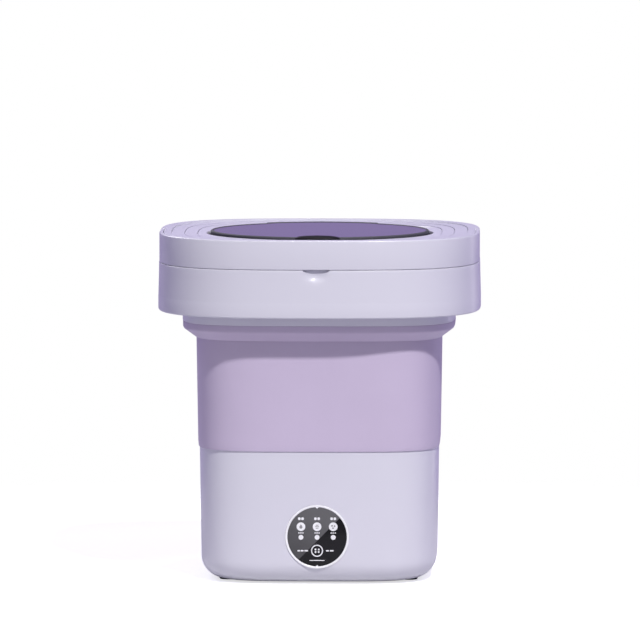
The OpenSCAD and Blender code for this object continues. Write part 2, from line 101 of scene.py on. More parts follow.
class RimSizes(bpy.types.PropertyGroup):
    """Sizes of the rim, its lid plate and the carrying handle."""

    half: length("Half width", "Half width of the rim at the handle", high("handle_bail", "X"))
    square: bpy.props.FloatProperty(
        name="Squareness", description="Superellipse power of the rim outline", default=3.0
    )
    top: length("Top", "Height of the rim's upper edge", high("top_cover", "Z"))
    seam: length("Seam", "Height of the seam under the handle", high("rim_skirt", "Z"))
    bottom: length("Bottom", "Height of the rim's lower edge", low("rim_skirt", "Z"))
    flare: length("Flare", "How far the skirt spreads at its lower edge", 0.001)
    wall: length("Wall", "Thickness of the cover's side wall", 0.0028)
    pocket: length("Pocket", "Depth of the pocket that the handle lies in", 0.0038)
    pocket_back: length("Pocket back", "Rear end of the handle pocket", 0.0156)
    plate: length("Plate", "Height of the plate round the mouth", 0.2975)
    under: length("Underside", "Underside of the plate", 0.2945)
    mouth: length("Mouth", "Radius of the mouth", 0.0985)
    handle_wall: length("Handle thickness", "Thickness of the handle band", 0.0032)
    pivot_y: length("Pivot place", "Distance of the handle pivots behind the centre", 0.0075)
    pivot_z: length("Pivot height", "Height of the handle pivots", 0.2925)
    screw_x: length("Screw place across", "Distance of the rim screws from the middle, across", 0.125)
    screw_y: length("Screw place deep", "Distance of the rim screws from the middle, front to back", 0.040)


class TubSizes(bpy.types.PropertyGroup):
    """Sizes of the base, the folding wall and its collar."""

    square: bpy.props.FloatProperty(
        name="Squareness", description="Superellipse power of the tub outline", default=4.2
    )
    half: length("Base half width", "Half width of the base at its upper edge", high("base_shell", "X"))
    draft: length("Draft", "How much narrower the base is at its lower edge", 0.00175)
    top: length("Base top", "Height of the base's upper edge", high("base_shell", "Z"))
    bottom: length("Base bottom", "Height of the base's underside", low("base_shell", "Z"))
    rounding: length("Rounding", "Radius of the base's lower edge", 0.018)
    wall: length("Wall", "Thickness of the base wall", 0.0025)
    recess: length("Recess", "Radius of the service opening in the underside", 0.066)
    soft_half: length("Soft wall half width", "Half width of the folding wall under its collar", 0.1065)
    soft_wall: length("Soft wall", "Thickness of the folding wall", 0.002)
    flange: length("Flange", "Half width of the folding wall's clamped upper flange", 0.1139)
    foot: length("Foot", "Radius of a rubber foot", 0.0082)
    screws: length("Screw place", "Distance of the base screws from the middle, both ways", 0.0445)
    collar_half: length("Collar half width", "Half width of the collar", high("collar_ring", "X"))
    collar_low: length("Collar low", "Height of the collar's lower edge", low("collar_ring", "Z"))
    collar_top: length("Collar top", "Height of the collar's upper edge", high("collar_ring", "Z"))


class LidSizes(bpy.types.PropertyGroup):
    """Sizes of the smoked lid."""

    radius: length("Radius", "Radius of the lid", high("lid_window", "X"))
    top: length("Top", "Height of the lid's upper face", 0.2994)
    thickness: length("Thickness", "Thickness of the lid", 0.003)
    hinge_y: length("Hinge place", "Distance of the hinge behind the centre", 0.087)
    hinge_z: length("Hinge height", "Height of the hinge", 0.2956)
    tongue: length("Tongue", "Half width of the rear tongue", 0.049)
    tongue_arc: length("Tongue arc", "Radius of the tongue's rear edge", 0.0916)
    arc_centre: length("Arc centre", "Distance of that arc's centre behind the middle", 0.012)


class BasketSizes(bpy.types.PropertyGroup):
    """Sizes of the spin basket and its pulsator."""

    floor: length("Floor", "Height of the basket's underside", low("spin_basket", "Z"))
    top: length("Top", "Height of the wall's upper edge", high("spin_basket", "Z"))
    floor_radius: length("Floor radius", "Radius of the basket floor", 0.066)
    top_radius: length("Top radius", "Radius of the wall's upper edge", high("spin_basket", "X"))
    slots: bpy.props.IntProperty(name="Slots", description="Radial slots in the floor", default=54)
    holes: bpy.props.IntProperty(name="Holes", description="Holes in each row of the wall", default=24)
    vanes: bpy.props.IntProperty(name="Vanes", description="Vanes of the pulsator", default=3)


class PanelSizes(bpy.types.PropertyGroup):
    """Sizes of the round control panel."""

    glass: length("Glass", "Radius of the control glass", high("panel_glass", "X"))
    centre: length("Centre", "Height of the control glass", 0.042)
    face: length("Face", "Front face of the glass", low("panel_glass", "Y"))
    ring_face: length("Ring face", "Front face of the ring", low("panel_ring", "Y"))
    column: length("Column", "Distance between the programme columns", 0.0139)


class WasherColours(bpy.types.PropertyGroup):
    """Colours of the mouldings."""

    shell: colour("Shell", "Hard lilac plastic", (0.668, 0.660, 0.735))
    soft: colour("Folding wall", "Soft purple rubber", (0.554, 0.480, 0.626))
    basket: colour("Basket", "Light inner plastic", (0.74, 0.73, 0.78))
    white: colour("White trim", "White trim and printing", (0.86, 0.86, 0.88))
    smoke: colour("Smoked lid", "Smoked lid", (0.012, 0.011, 0.014))
    dark: colour("Dark trim", "Black rubber and plastic", (0.018, 0.017, 0.02))
    navy: colour("Hose seal", "Dark blue seal of the hose socket", (0.012, 0.013, 0.035))
    floor: colour("Floor", "Pale studio floor", (0.78, 0.78, 0.79))


class Sizes:
    """Reads a property group, with its lengths in millimetres."""

    def __init__(self, group):
        for prop in group.bl_rna.properties:
            if prop.identifier in ("name", "rna_type"):
                continue
            value = getattr(group, prop.identifier)
            setattr(self, prop.identifier, value / MM if prop.unit == "LENGTH" else value)


def sizes(part):
    """The sizes of one part of the washer, in millimetres."""
    return Sizes(getattr(bpy.context.scene, "washer_" + part))


def hue(name):
    """One of the washer's colours, with alpha."""
    return (*getattr(bpy.context.scene.washer_colours, name), 1.0)


# ------------------------------------------------------------------ outlines and profiles


def spread(count, *extra):
    """Angles round a full turn, with a few more put in where an edge needs them."""
    even = np.arange(count) * TURN / count - math.pi
    return np.sort(np.concatenate([even, *[np.atleast_1d(e) for e in extra]]))


def superellipse(half, power, grow, angles):
    """Outline points of a rounded square, moved outwards along its normal by grow."""
    c, s = np.cos(angles), np.sin(angles)
    reach = (abs(c) ** power + abs(s) ** power) ** (-1 / power)
    unit = np.stack([reach * c, reach * s], 1)
    slope = np.sign(unit) * abs(unit) ** (power - 1)
    slope /= np.linalg.norm(slope, axis=1)[:, None]
    return half * unit + np.broadcast_to(grow, len(angles))[:, None] * slope


def tongued_circle(radius, side, arc, centre, angles):
    """Circle that a tongue with straight sides and an arched end sticks out of at the back."""
    c, s = np.cos(angles), np.sin(angles)
    end = centre * s + np.sqrt(arc**2 - (centre * c) ** 2)
    flank = side / np.maximum(abs(c), 1e-6)
    reach = np.where(s > 0.5, np.minimum(end, flank), 0)
    reach = np.maximum(reach, radius)
    return np.stack([reach * c, reach * s], 1)


def tongue_corners(radius, side, arc, centre):
    """Angles of the corners of that outline, from right to left."""
    root = math.atan2(math.sqrt(radius**2 - side**2), side)
    tip = math.atan2(centre + math.sqrt(arc**2 - side**2), side)
    return [root, tip, math.pi - tip, math.pi - root]


def ring(points, z):
    """Flat points lifted to one height, or to one height each."""
    return np.column_stack([points, np.broadcast_to(z, len(points))])


def rounded(corners, steps=4, closed=True):
    """Points of a polygon whose corners (x, y, radius) are turned into arcs."""
    places = [np.array(c[:2], float) for c in corners]
    made = []
    for i, corner in enumerate(corners):
        here = places[i]
        if not corner[2] or (not closed and i in (0, len(corners) - 1)):
            made.append(here)
            continue
        back = places[i - 1] - here
        ahead = places[(i + 1) % len(corners)] - here
        room = 0.48 * min(np.linalg.norm(back), np.linalg.norm(ahead))
        back /= np.linalg.norm(back)
        ahead /= np.linalg.norm(ahead)
        half = math.acos(np.clip(back @ ahead, -1, 1)) / 2
        if half > 1.5:
            made.append(here)
            continue
        reach = min(corner[2] / math.tan(half), room)
        radius = reach * math.tan(half)
        middle = back + ahead
        centre = here + middle / np.linalg.norm(middle) * radius / math.sin(half)
        start = here + back * reach - centre
        end = here + ahead * reach - centre
        swing = math.acos(np.clip(start @ end / radius**2, -1, 1))
        for k in range(steps + 1):
            t = k / steps
            mixed = math.sin((1 - t) * swing) * start + math.sin(t * swing) * end
            made.append(centre + mixed / math.sin(swing))
    return np.array(made)


def smooth(value, start, end):
    """Eased step from 0 at start to 1 at end."""
    t = np.clip((value - start) / (end - start), 0, 1)
    return t * t * (3 - 2 * t)


# ------------------------------------------------------------------ meshes


def loft(rings, looped=True, capped=False):
    """Points and faces of a skin over rings of one count; looped joins the last ring to the first."""
    count = len(rings[0])
    total = len(rings)
    here = np.arange(count)
    after = (here + 1) % count
    faces = []
    for k in range(total if looped else total - 1):
        a = k * count
        b = ((k + 1) % total) * count
        faces += np.stack([a + here, a + after, b + after, b + here], 1).tolist()
    if capped:
        faces.append(list(range(count))[::-1])
        faces.append([(total - 1) * count + i for i in range(count)])
    return np.concatenate(rings), faces


def lathe(profile, count=96):
    """Points and faces of a profile of (radius, height) turned round Z."""
    angles = spread(count)
    circle = np.stack([np.cos(angles), np.sin(angles)], 1)
    rings = [ring(r * circle, z) for r, z in profile]
    return loft(rings, looped=not (profile[0][0] == 0 and profile[-1][0] == 0))


def prism(outline, bottom, top):
    """Points and faces of an outline stood up between two heights."""
    outline = np.asarray(outline, float)
    return loft([ring(outline, bottom), ring(outline, top)], looped=False, capped=True)


def joined(*solids):
    """Several (points, faces) as one."""
    points, faces, start = [], [], 0
    for p, f in solids:
        points.append(p)
        faces += [[i + start for i in face] for face in f]
        start += len(p)
    return np.concatenate(points), faces


def cross_recess(half_long, half_wide, bottom, top):
    """Two bars across each other, to cut a cross into a screw's head."""
    x, y = half_long, half_wide
    bar = np.array([(-x, -y), (x, -y), (x, y), (-x, y)])
    quarter = np.array([[0, 1], [-1, 0]])
    return [prism(bar, bottom, top), prism(bar @ quarter, bottom, top)]


def moved(solid, x=0.0, y=0.0, z=0.0):
    """A (points, faces) solid put somewhere else."""
    return solid[0] + np.array([x, y, z]), solid[1]


def facing_front(solid, x=0.0, y=0.0, z=0.0):
    """A solid built round Z laid down so that its top faces -Y, then put at a place."""
    p = solid[0]
    return np.column_stack([p[:, 0] + x, y - p[:, 2], p[:, 1] + z]), solid[1]


def facing_back(solid, x=0.0, y=0.0, z=0.0):
    """A solid built round Z laid down so that its top faces +Y, then put at a place."""
    p = solid[0]
    return np.column_stack([-p[:, 0] + x, y + p[:, 2], p[:, 1] + z]), solid[1]


def shade(mesh, sharp):
    """Smooth faces, with edges sharper than an angle in degrees kept crisp."""
    mesh.shade_smooth()
    mesh.set_sharp_from_angle(angle=math.radians(sharp))


def form(name, solid, finish, sharp=32):
    """A mesh object of a solid given in millimetres, closed up and facing outwards."""
    points, faces = solid
    mesh = bpy.data.meshes.new(name)
    mesh.from_pydata((points * MM).tolist(), [], faces)
    work = bmesh.new()
    work.from_mesh(mesh)
    bmesh.ops.remove_doubles(work, verts=work.verts, dist=2e-6)
    bmesh.ops.dissolve_degenerate(work, edges=work.edges, dist=1e-7)
    bmesh.ops.recalc_face_normals(work, faces=work.faces)
    work.to_mesh(mesh)
    work.free()
    mesh.materials.append(finish)
    shade(mesh, sharp)
    made = bpy.data.objects.new(name, mesh)
    bpy.context.scene.collection.objects.link(made)
    return made


def settle(obj, sharp=32):
    """Turns an object's modifiers into plain mesh."""
    graph = bpy.context.evaluated_depsgraph_get()
    mesh = bpy.data.meshes.new_from_object(obj.evaluated_get(graph))
    old = obj.data
    obj.modifiers.clear()
    obj.data = mesh
    mesh.name = obj.name
    bpy.data.meshes.remove(old)
    shade(obj.data, sharp)


def carve(obj, *solids, sharp=32):
    """Cuts solids out of an object."""
    for k, solid in enumerate(solids):
        cutter = form(f"cutter_{k}", solid, obj.data.materials[0])
        cut = obj.modifiers.new("carve", "BOOLEAN")
        cut.operation = "DIFFERENCE"
        cut.solver = "EXACT"
        cut.object = cutter
        settle(obj, sharp)
        mesh = cutter.data
        bpy.data.objects.remove(cutter)
        bpy.data.meshes.remove(mesh)


def place(obj, body, slot, *nodes):
    """Lets a finished piece ride on a body and stand for frame nodes."""
    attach(obj, body)
    if nodes:
        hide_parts(*nodes)


# ------------------------------------------------------------------ repeats with geometry nodes


def new_tree(name, inputs):
    """An empty geometry tree with a geometry input, the named inputs and a geometry output."""
    tree = bpy.data.node_groups.new(name, "GeometryNodeTree")
    tree.interface.new_socket("Geometry", in_out="INPUT", socket_type="NodeSocketGeometry")
    for label, kind in inputs:
        tree.interface.new_socket(label, in_out="INPUT", socket_type=kind)
    tree.interface.new_socket("Geometry", in_out="OUTPUT", socket_type="NodeSocketGeometry")
    return tree, tree.nodes.new("NodeGroupInput"), tree.nodes.new("NodeGroupOutput")


def end_tree(tree, given, result, instances):
    """Realizes the instances, closes them up and gives them their material."""
    real = tree.nodes.new("GeometryNodeRealizeInstances")
    merge = tree.nodes.new("GeometryNodeMergeByDistance")
    paint = tree.nodes.new("GeometryNodeSetMaterial")
    merge.inputs["Distance"].default_value = 2e-6
    tree.links.new(instances, real.inputs["Geometry"])
    tree.links.new(real.outputs["Geometry"], merge.inputs["Geometry"])
    tree.links.new(merge.outputs["Geometry"], paint.inputs["Geometry"])
    tree.links.new(given.outputs["Material"], paint.inputs["Material"])
    tree.links.new(paint.outputs["Geometry"], result.inputs["Geometry"])
    return tree


def turned_tree():
    """Repeats a shape at even turns round Z."""
    tree, given, result = new_tree(
        "turned_repeat",
        [("Count", "NodeSocketInt"), ("First angle", "NodeSocketFloat"), ("Material", "NodeSocketMaterial")],
    )
    points = tree.nodes.new("GeometryNodePoints")
    spots = tree.nodes.new("GeometryNodeInstanceOnPoints")
    index = tree.nodes.new("GeometryNodeInputIndex")
    step = tree.nodes.new("ShaderNodeMath")
    angle = tree.nodes.new("ShaderNodeMath")
    turn = tree.nodes.new("ShaderNodeCombineXYZ")
    step.operation = "DIVIDE"
    step.inputs[0].default_value = TURN
    angle.operation = "MULTIPLY_ADD"
    tree.links.new(given.outputs["Count"], points.inputs["Count"])
    tree.links.new(given.outputs["Count"], step.inputs[1])
    tree.links.new(index.outputs["Index"], angle.inputs[0])
    tree.links.new(step.outputs[0], angle.inputs[1])
    tree.links.new(given.outputs["First angle"], angle.inputs[2])
    tree.links.new(angle.outputs[0], turn.inputs["Z"])
    tree.links.new(points.outputs[0], spots.inputs["Points"])
    tree.links.new(given.outputs["Geometry"], spots.inputs["Instance"])
    tree.links.new(turn.outputs[0], spots.inputs["Rotation"])
    return end_tree(tree, given, result, spots.outputs["Instances"])


def corner_tree():
    """Repeats a shape at the four corners of a rectangle round the origin."""
    tree, given, result = new_tree(
        "corner_repeat",
        [("Across", "NodeSocketFloat"), ("Deep", "NodeSocketFloat"), ("Material", "NodeSocketMaterial")],
    )
    grid = tree.nodes.new("GeometryNodeMeshGrid")
    spots = tree.nodes.new("GeometryNodeInstanceOnPoints")
    grid.inputs["Vertices X"].default_value = 2
    grid.inputs["Vertices Y"].default_value = 2
    tree.links.new(given.outputs["Across"], grid.inputs["Size X"])
    tree.links.new(given.outputs["Deep"], grid.inputs["Size Y"])
    tree.links.new(grid.outputs["Mesh"], spots.inputs["Points"])
    tree.links.new(given.outputs["Geometry"], spots.inputs["Instance"])
    return end_tree(tree, given, result, spots.outputs["Instances"])


def repeat(obj, maker, sharp=32, **values):
    """Runs a repeat tree on an object and keeps its result as plain mesh."""
    tree = bpy.data.node_groups.get(maker.__name__) or maker()
    tree.name = maker.__name__
    nodes = obj.modifiers.new("repeat", "NODES")
    nodes.node_group = tree
    values["Material"] = obj.data.materials[0]
    for item in tree.interface.items_tree:
        label = item.name.replace(" ", "_")
        if item.in_out == "INPUT" and label in values:
            nodes[item.identifier] = values[label]
    bpy.context.view_layer.update()
    settle(obj, sharp)


# ------------------------------------------------------------------ finishes


class Wire:
    """A shader value. Arithmetic on it adds Math nodes."""

    def __init__(self, sheet, socket):
        self.sheet = sheet
        self.socket = socket

    def math(self, operation, *values):
        """One Math node on the values."""
        return self.sheet.node("ShaderNodeMath", {"operation": operation}, dict(enumerate(values)))

    def __add__(self, other):
        return self.math("ADD", self, other)

    def __mul__(self, other):
        return self.math("MULTIPLY", self, other)

    def __sub__(self, other):
        return self.math("SUBTRACT", self, other)

    def __rsub__(self, other):
        return self.math("SUBTRACT", other, self)

    __radd__ = __add__

    def eased(self, start, end):
        """Eased step from 0 at start to 1 at end."""
        return self.sheet.node(
            "ShaderNodeMapRange",
            {"interpolation_type": "SMOOTHSTEP"},
            {"Value": self, "From Min": start, "From Max": end},
        )


class Sheet:
    """The nodes of one material or world."""

    def __init__(self, tree):
        self.tree = tree
        tree.nodes.clear()

    def node(self, kind, settings=None, inputs=None, output=0):
        """Adds a node, sets it up, fills or links its sockets, and gives one of its outputs."""
        made = self.tree.nodes.new(kind)
        for key, value in (settings or {}).items():
            setattr(made, key, value)
        for key, value in (inputs or {}).items():
            if isinstance(value, Wire):
                self.tree.links.new(value.socket, made.inputs[key])
            else:
                made.inputs[key].default_value = value
        return Wire(self, made.outputs[output]) if made.outputs else made

    def mix(self, factor, first, second):
        """Mixes two colours."""
        return self.node(
            "ShaderNodeMix",
            {"data_type": "RGBA", "clamp_factor": True},
            {0: factor, 6: first, 7: second},
            output=2,
        )

    def noise(self, scale, detail=2.0, roughness=0.5, stretch=(1, 1, 1)):
        """Noise on the piece's own coordinates, scale in features a metre."""
        spot = self.node("ShaderNodeTexCoord", output="Object")
        spot = self.node("ShaderNodeMapping", None, {"Vector": spot, "Scale": stretch})
        return self.node(
            "ShaderNodeTexNoise",
            None,
            {"Vector": spot, "Scale": scale, "Detail": detail, "Roughness": roughness},
        )


def principled(name, fixed, varying, bump=None):
    """A material on one Principled shader, from fixed values and a maker of what changes over the surface."""
    material = bpy.data.materials.new(name)
    material.use_nodes = True
    sheet = Sheet(material.node_tree)
    inputs = {**fixed, **varying(sheet)}
    if bump:
        height, depth = bump(sheet)
        inputs["Normal"] = sheet.node(
            "ShaderNodeBump", None, {"Height": height, "Distance": depth, "Strength": 1.0}
        )
    shader = sheet.node("ShaderNodeBsdfPrincipled", None, inputs)
    sheet.node("ShaderNodeOutputMaterial", None, {"Surface": shader})
    return material


def shaded(tint, factor):
    """A colour made lighter or darker."""
    return (*[min(1.0, c * factor) for c in tint[:3]], 1.0)


def lilac_plastic():
    """Hard satin moulding: fine grain, faint flow marks and handling haze."""
    tint = hue("shell")

    def varying(sheet):
        flow = sheet.noise(9, 2, 0.5, (1, 1, 0.45)).eased(0.3, 0.7)
        haze = sheet.noise(55, 4, 0.6).eased(0.42, 0.68)
        return {
            "Base Color": sheet.mix(flow, shaded(tint, 0.992), shaded(tint, 1.008)),
            "Roughness": 0.29 + haze * 0.02,
        }

    def bump(sheet):
        return sheet.noise(2600, 2, 0.5), 0.0000035

    return principled("lilac_plastic", {"IOR": 1.5, "Specular IOR Level": 0.5}, varying, bump)


def soft_rubber():
    """Soft folding wall: matt satin, fine speckle."""
    tint = hue("soft")

    def varying(sheet):
        cloud = sheet.noise(14, 3, 0.55).eased(0.3, 0.7)
        dust = sheet.noise(420, 3, 0.6).eased(0.5, 0.8)
        base = sheet.mix(cloud, shaded(tint, 0.988), shaded(tint, 1.012))
        return {
            "Base Color": sheet.mix(dust * 0.12, base, shaded(tint, 1.12)),
            "Roughness": 0.46 + dust * 0.08 + cloud * 0.03,
        }

    def bump(sheet):
        return sheet.noise(3200, 3, 0.6), 0.000006

    return principled("soft_rubber", {"IOR": 1.46, "Specular IOR Level": 0.3}, varying, bump)


def plain_plastic(name, colour_name, rough, grain=0.000004, factor=1.0, gloss=0.5):
    """Moulded plastic of one colour with fine grain and uneven gloss."""
    tint = shaded(hue(colour_name), factor)

    def varying(sheet):
        cloud = sheet.noise(40, 3, 0.55).eased(0.3, 0.7)
        return {
            "Base Color": sheet.mix(cloud, shaded(tint, 0.94), shaded(tint, 1.05)),
            "Roughness": rough + cloud * 0.06,
        }

    def bump(sheet):
        return sheet.noise(2200, 3, 0.55), grain

    return principled(name, {"IOR": 1.5, "Specular IOR Level": gloss}, varying, bump)


def smoked_plastic():
    """Dark see-through lid with faint wiping marks in its gloss."""
    tint = hue("smoke")

    def varying(sheet):
        wipe = sheet.noise(30, 4, 0.6, (1, 0.25, 1)).eased(0.45, 0.75)
        slant = sheet.node("ShaderNodeLayerWeight", None, {"Blend": 0.5}, output="Facing")
        return {
            "Base Color": sheet.mix(wipe, tint, shaded(tint, 1.5)),
            "Roughness": 0.04 + wipe * 0.03,
            "Alpha": 0.50 + slant.eased(0.35, 0.9) * 0.46,
        }

    return principled("smoked_plastic", {"IOR": 1.52, "Specular IOR Level": 0.5}, varying)


def dark_glass():
    """Black control glass, printed from behind, with a painted reflection: its upper-left half above a
    diagonal is lighter grey, brightening towards the top.
    """
    tint = hue("dark")

    def varying(sheet):
        spot = sheet.node("ShaderNodeTexCoord", output="Object")
        parts = sheet.node("ShaderNodeSeparateXYZ", None, {0: spot}).socket.node
        across = Wire(sheet, parts.outputs["X"])
        height = Wire(sheet, parts.outputs["Z"])
        # painted reflection: above this diagonal the glass is drawn lighter grey, brighter towards the top
        side = (height - 0.042) - (across * 1.02 - 0.0035)
        reflection_half = side.eased(-0.0006, 0.0006)
        reflection_fade = (height + across * 0.4).eased(0.02, 0.062)
        wipe = sheet.noise(90, 3, 0.6).eased(0.45, 0.75)
        light = sheet.mix(reflection_fade, (0.075, 0.074, 0.077, 1), (0.125, 0.124, 0.129, 1))
        return {
            "Base Color": sheet.mix(reflection_half, shaded(tint, 0.4), light),
            "Roughness": 0.06 + wipe * 0.05,
        }

    return principled("dark_glass", {"IOR": 1.5, "Specular IOR Level": 0.28}, varying)


def metal(name, tint, rough, lines):
    """Turned or rolled metal with fine lines in its gloss."""

    def varying(sheet):
        brush = sheet.noise(600, 3, 0.6, lines).eased(0.3, 0.7)
        stain = sheet.noise(35, 4, 0.6).eased(0.4, 0.75)
        return {
            "Base Color": sheet.mix(stain * 0.5, tint, shaded(tint, 0.82)),
            "Roughness": rough + brush * 0.12,
        }

    def bump(sheet):
        return sheet.noise(900, 2, 0.5, lines), 0.000003

    return principled(name, {"Metallic": 1.0}, varying, bump)


def board_lacquer():
    """Green circuit board with darker copper tracks under its lacquer."""

    def varying(sheet):
        track = sheet.noise(260, 1, 0.4, (1, 1, 3)).eased(0.48, 0.52)
        return {
            "Base Color": sheet.mix(track, (0.01, 0.09, 0.035, 1), (0.02, 0.16, 0.06, 1)),
            "Roughness": 0.3 + track * 0.12,
        }

    return principled("board_lacquer", {"IOR": 1.5}, varying)


FINISHES = {
    "lilac_plastic": lilac_plastic,
    "soft_rubber": soft_rubber,
    "basket_plastic": lambda: plain_plastic("basket_plastic", "basket", 0.3),
    "white_plastic": lambda: plain_plastic("white_plastic", "white", 0.28),
    "printed_white": lambda: plain_plastic("printed_white", "white", 0.45, 0.000001),
    "printed_grey": lambda: plain_plastic("printed_grey", "white", 0.45, 0.000001, 0.3),
    "black_rubber": lambda: plain_plastic("black_rubber", "dark", 0.55, 0.00001),
    "black_plastic": lambda: plain_plastic("black_plastic", "dark", 0.38, 0.000004, 0.8, 0.3),
    "tab_rubber": lambda: plain_plastic("tab_rubber", "dark", 0.5, 0.000006, 0.5, 0.15),
    "navy_rubber": lambda: plain_plastic("navy_rubber", "navy", 0.45, 0.000006),
    "smoked_plastic": smoked_plastic,
    "dark_glass": dark_glass,
    "steel": lambda: metal("steel", (0.62, 0.62, 0.64, 1), 0.24, (1, 1, 0.02)),
    "zinc": lambda: metal("zinc", (0.56, 0.57, 0.6, 1), 0.36, (1, 1, 1)),
    "board_lacquer": board_lacquer,
}


def finish(name):
    """A finish by name, made the first time that it is asked for."""
    return bpy.data.materials.get(name) or FINISHES[name]()


# Frame nodes that stay as they are, by the finish they get
KEPT_NODES = {
    "lilac_plastic": ["tub_liner", "bottom_cover", "rim_posts"],
    "white_plastic": ["clamp_lower", "clamp_upper", "drain_elbow", "panel_housing", "drum_pulley"],
    "basket_plastic": ["drive_plate", "motor_pulley"],
    "black_rubber": ["shaft_seal", "drive_belt"],
    "black_plastic": ["board_components", "mouth_ring", "lid_hinge_pins"],
    "board_lacquer": ["control_board"],
    "steel": [
        "bearing_upper", "bearing_lower", "drive_shaft", "motor_shaft", "handle_pins", "drain_strainer",
    ],
    "zinc": ["bearing_housing", "motor_bracket", "motor_body", "motor_screws", "board_screws"],
}


# ------------------------------------------------------------------ pieces


class WASHER_OT_frame_finishes(bpy.types.Operator):
    """Give the frame nodes that stay their finishes"""

    bl_idname = "washer.frame_finishes"
    bl_label = "Frame finishes"

    def execute(self, context):
        for name, nodes in KEPT_NODES.items():
            for node in nodes:
                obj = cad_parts[node]
                obj.data.materials.clear()
                obj.data.materials.append(finish(name))
        return {"FINISHED"}


class WASHER_OT_base(bpy.types.Operator):
    """Build the base casing with its rounded lower edge and its openings"""

    bl_idname = "washer.base"
    bl_label = "Base casing"

    def execute(self, context):
        tub, panel = sizes("tub"), sizes("panel")
        angles = spread(288)
        narrow = tub.half - tub.draft
        round_top = tub.bottom + tub.rounding

        def outer(half, z):
            return ring(superellipse(half, tub.square, 0, angles), z)

        def outside(z):
            share = (z - tub.bottom) / (tub.top - tub.bottom)
            return outer(narrow + tub.draft * share, z)

        rings = []
        for t in np.linspace(0, math.pi / 2, 14):
            grow = tub.rounding * (math.sin(t) - 1)
            lift = tub.rounding * (1 - math.cos(t))
            share = lift / (tub.top - tub.bottom)
            rings.append(outer(narrow + tub.draft * share + grow, tub.bottom + lift))
        rings += [outside(z) for z in np.arange(round_top + 2.5, tub.top - 2, 2.5)]
        edge = rounded([(0, -4, 0), (0, 0, 0.8), (-tub.wall, 0, 0.3), (-tub.wall, -4, 0)], 4, False)
        rings += [outer(tub.half + g, tub.top + z) for g, z in edge]
        inside = narrow - tub.wall
        rings.append(outer(inside, round_top))
        for t in np.linspace(math.pi / 2, 0.2, 6):
            grow = (tub.rounding - tub.wall) * (math.sin(t) - 1)
            rings.append(outer(inside + grow, round_top - (tub.rounding - 4) * math.cos(t)))
        circle = np.stack([np.cos(angles), np.sin(angles)], 1)
        opening = [(6, 4, 0), (-6, 4, 0.5), (-6, 2, 0.3), (0.1, 2, 0), (0.1, 0, 0.3), (6, 0, 0)]
        for r, z in rounded(opening, 3, False):
            rings.append(ring((tub.recess + r) * circle, tub.bottom + z))
        base = form("base_casing", loft(rings), finish("lilac_plastic"))
        hole = rounded([(0, -8, 0), (panel.glass + 2.1, -8, 0), (panel.glass + 2.1, 14, 0), (0, 14, 0)])
        port_x, _, port_z = middle_of("drain_grommet")
        inlet_x = middle_of("inlet_nut")[0]
        port_r, inlet_r, inside_y, deep = 9.1, 6.1, 90, 30
        cuts = [facing_front(lathe(hole, 128), 0, panel.face, panel.centre)]
        for r, x in ((port_r, port_x), (inlet_r, inlet_x)):
            bore = lathe([(0, 0), (r, 0), (r, deep), (0, deep)], 64)
            cuts.append(facing_back(bore, x, inside_y, port_z))
        carve(base, *cuts)
        place(base, "base", "lilac_abs", "base_shell")
        return {"FINISHED"}


class WASHER_OT_folding_wall(bpy.types.Operator):
    """Build the soft folding wall, its lower bead and its collar"""

    bl_idname = "washer.folding_wall"
    bl_label = "Folding wall"

    def execute(self, context):
        tub = sizes("tub")
        angles = spread(240)
        foot = tub.half + 0.05
        bead = tub.half + 1.5
        top = tub.collar_top + 2.2

        def at(half, z):
            return ring(superellipse(half, tub.square, 0, angles), z)

        low_z = tub.top
        start = bead - 0.2
        profile = [(foot, low_z - 3.4, 0), (bead - 0.6, low_z - 3.4, 0.15)]
        profile += [(start, low_z + 0.8, 1.6), (start, low_z + 3, 0)]
        rings = [at(x, z) for x, z in rounded(profile, 5, False)]
        heights = np.arange(low_z + 5, tub.collar_low + 4, 2.0)
        for z in heights:
            share = (z - low_z) / (tub.collar_low - low_z)
            rings.append(at(start + (tub.soft_half - start) * min(1.0, share), z))
        rings += [at(tub.soft_half, z) for z in (tub.collar_low + 8, top - 2)]
        rings += [at(tub.flange, top - 2), at(tub.flange, top), at(tub.soft_half - tub.soft_wall, top)]
        for z in heights[::-1][::2]:
            share = min(1.0, (z - low_z) / (tub.collar_low - low_z))
            rings.append(at(start + (tub.soft_half - start) * share - tub.soft_wall, z))
        rings += [at(tub.half - 1.1, low_z + 2), at(tub.half - 1.1, low_z + 0.1), at(foot, low_z + 0.1)]
        wall = form("folding_wall", loft(rings), finish("soft_rubber"))
        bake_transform(wall)
        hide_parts("bellows")

        inner = tub.soft_half + 0.3
        corners = [(inner, tub.collar_low, 0.2), (inner + 0.8, tub.collar_low, 0.4)]
        corners += [(tub.collar_half, tub.collar_low + 8, 3), (tub.collar_half, tub.collar_top, 0.4)]
        corners += [(inner, tub.collar_top, 0)]
        rings = [at(x, z) for x, z in rounded(corners, 6)]
        collar = form("wall_collar", loft(rings), finish("soft_rubber"))
        place(collar, "upper_frame", "soft_tpr", "collar_ring")
        return {"FINISHED"}


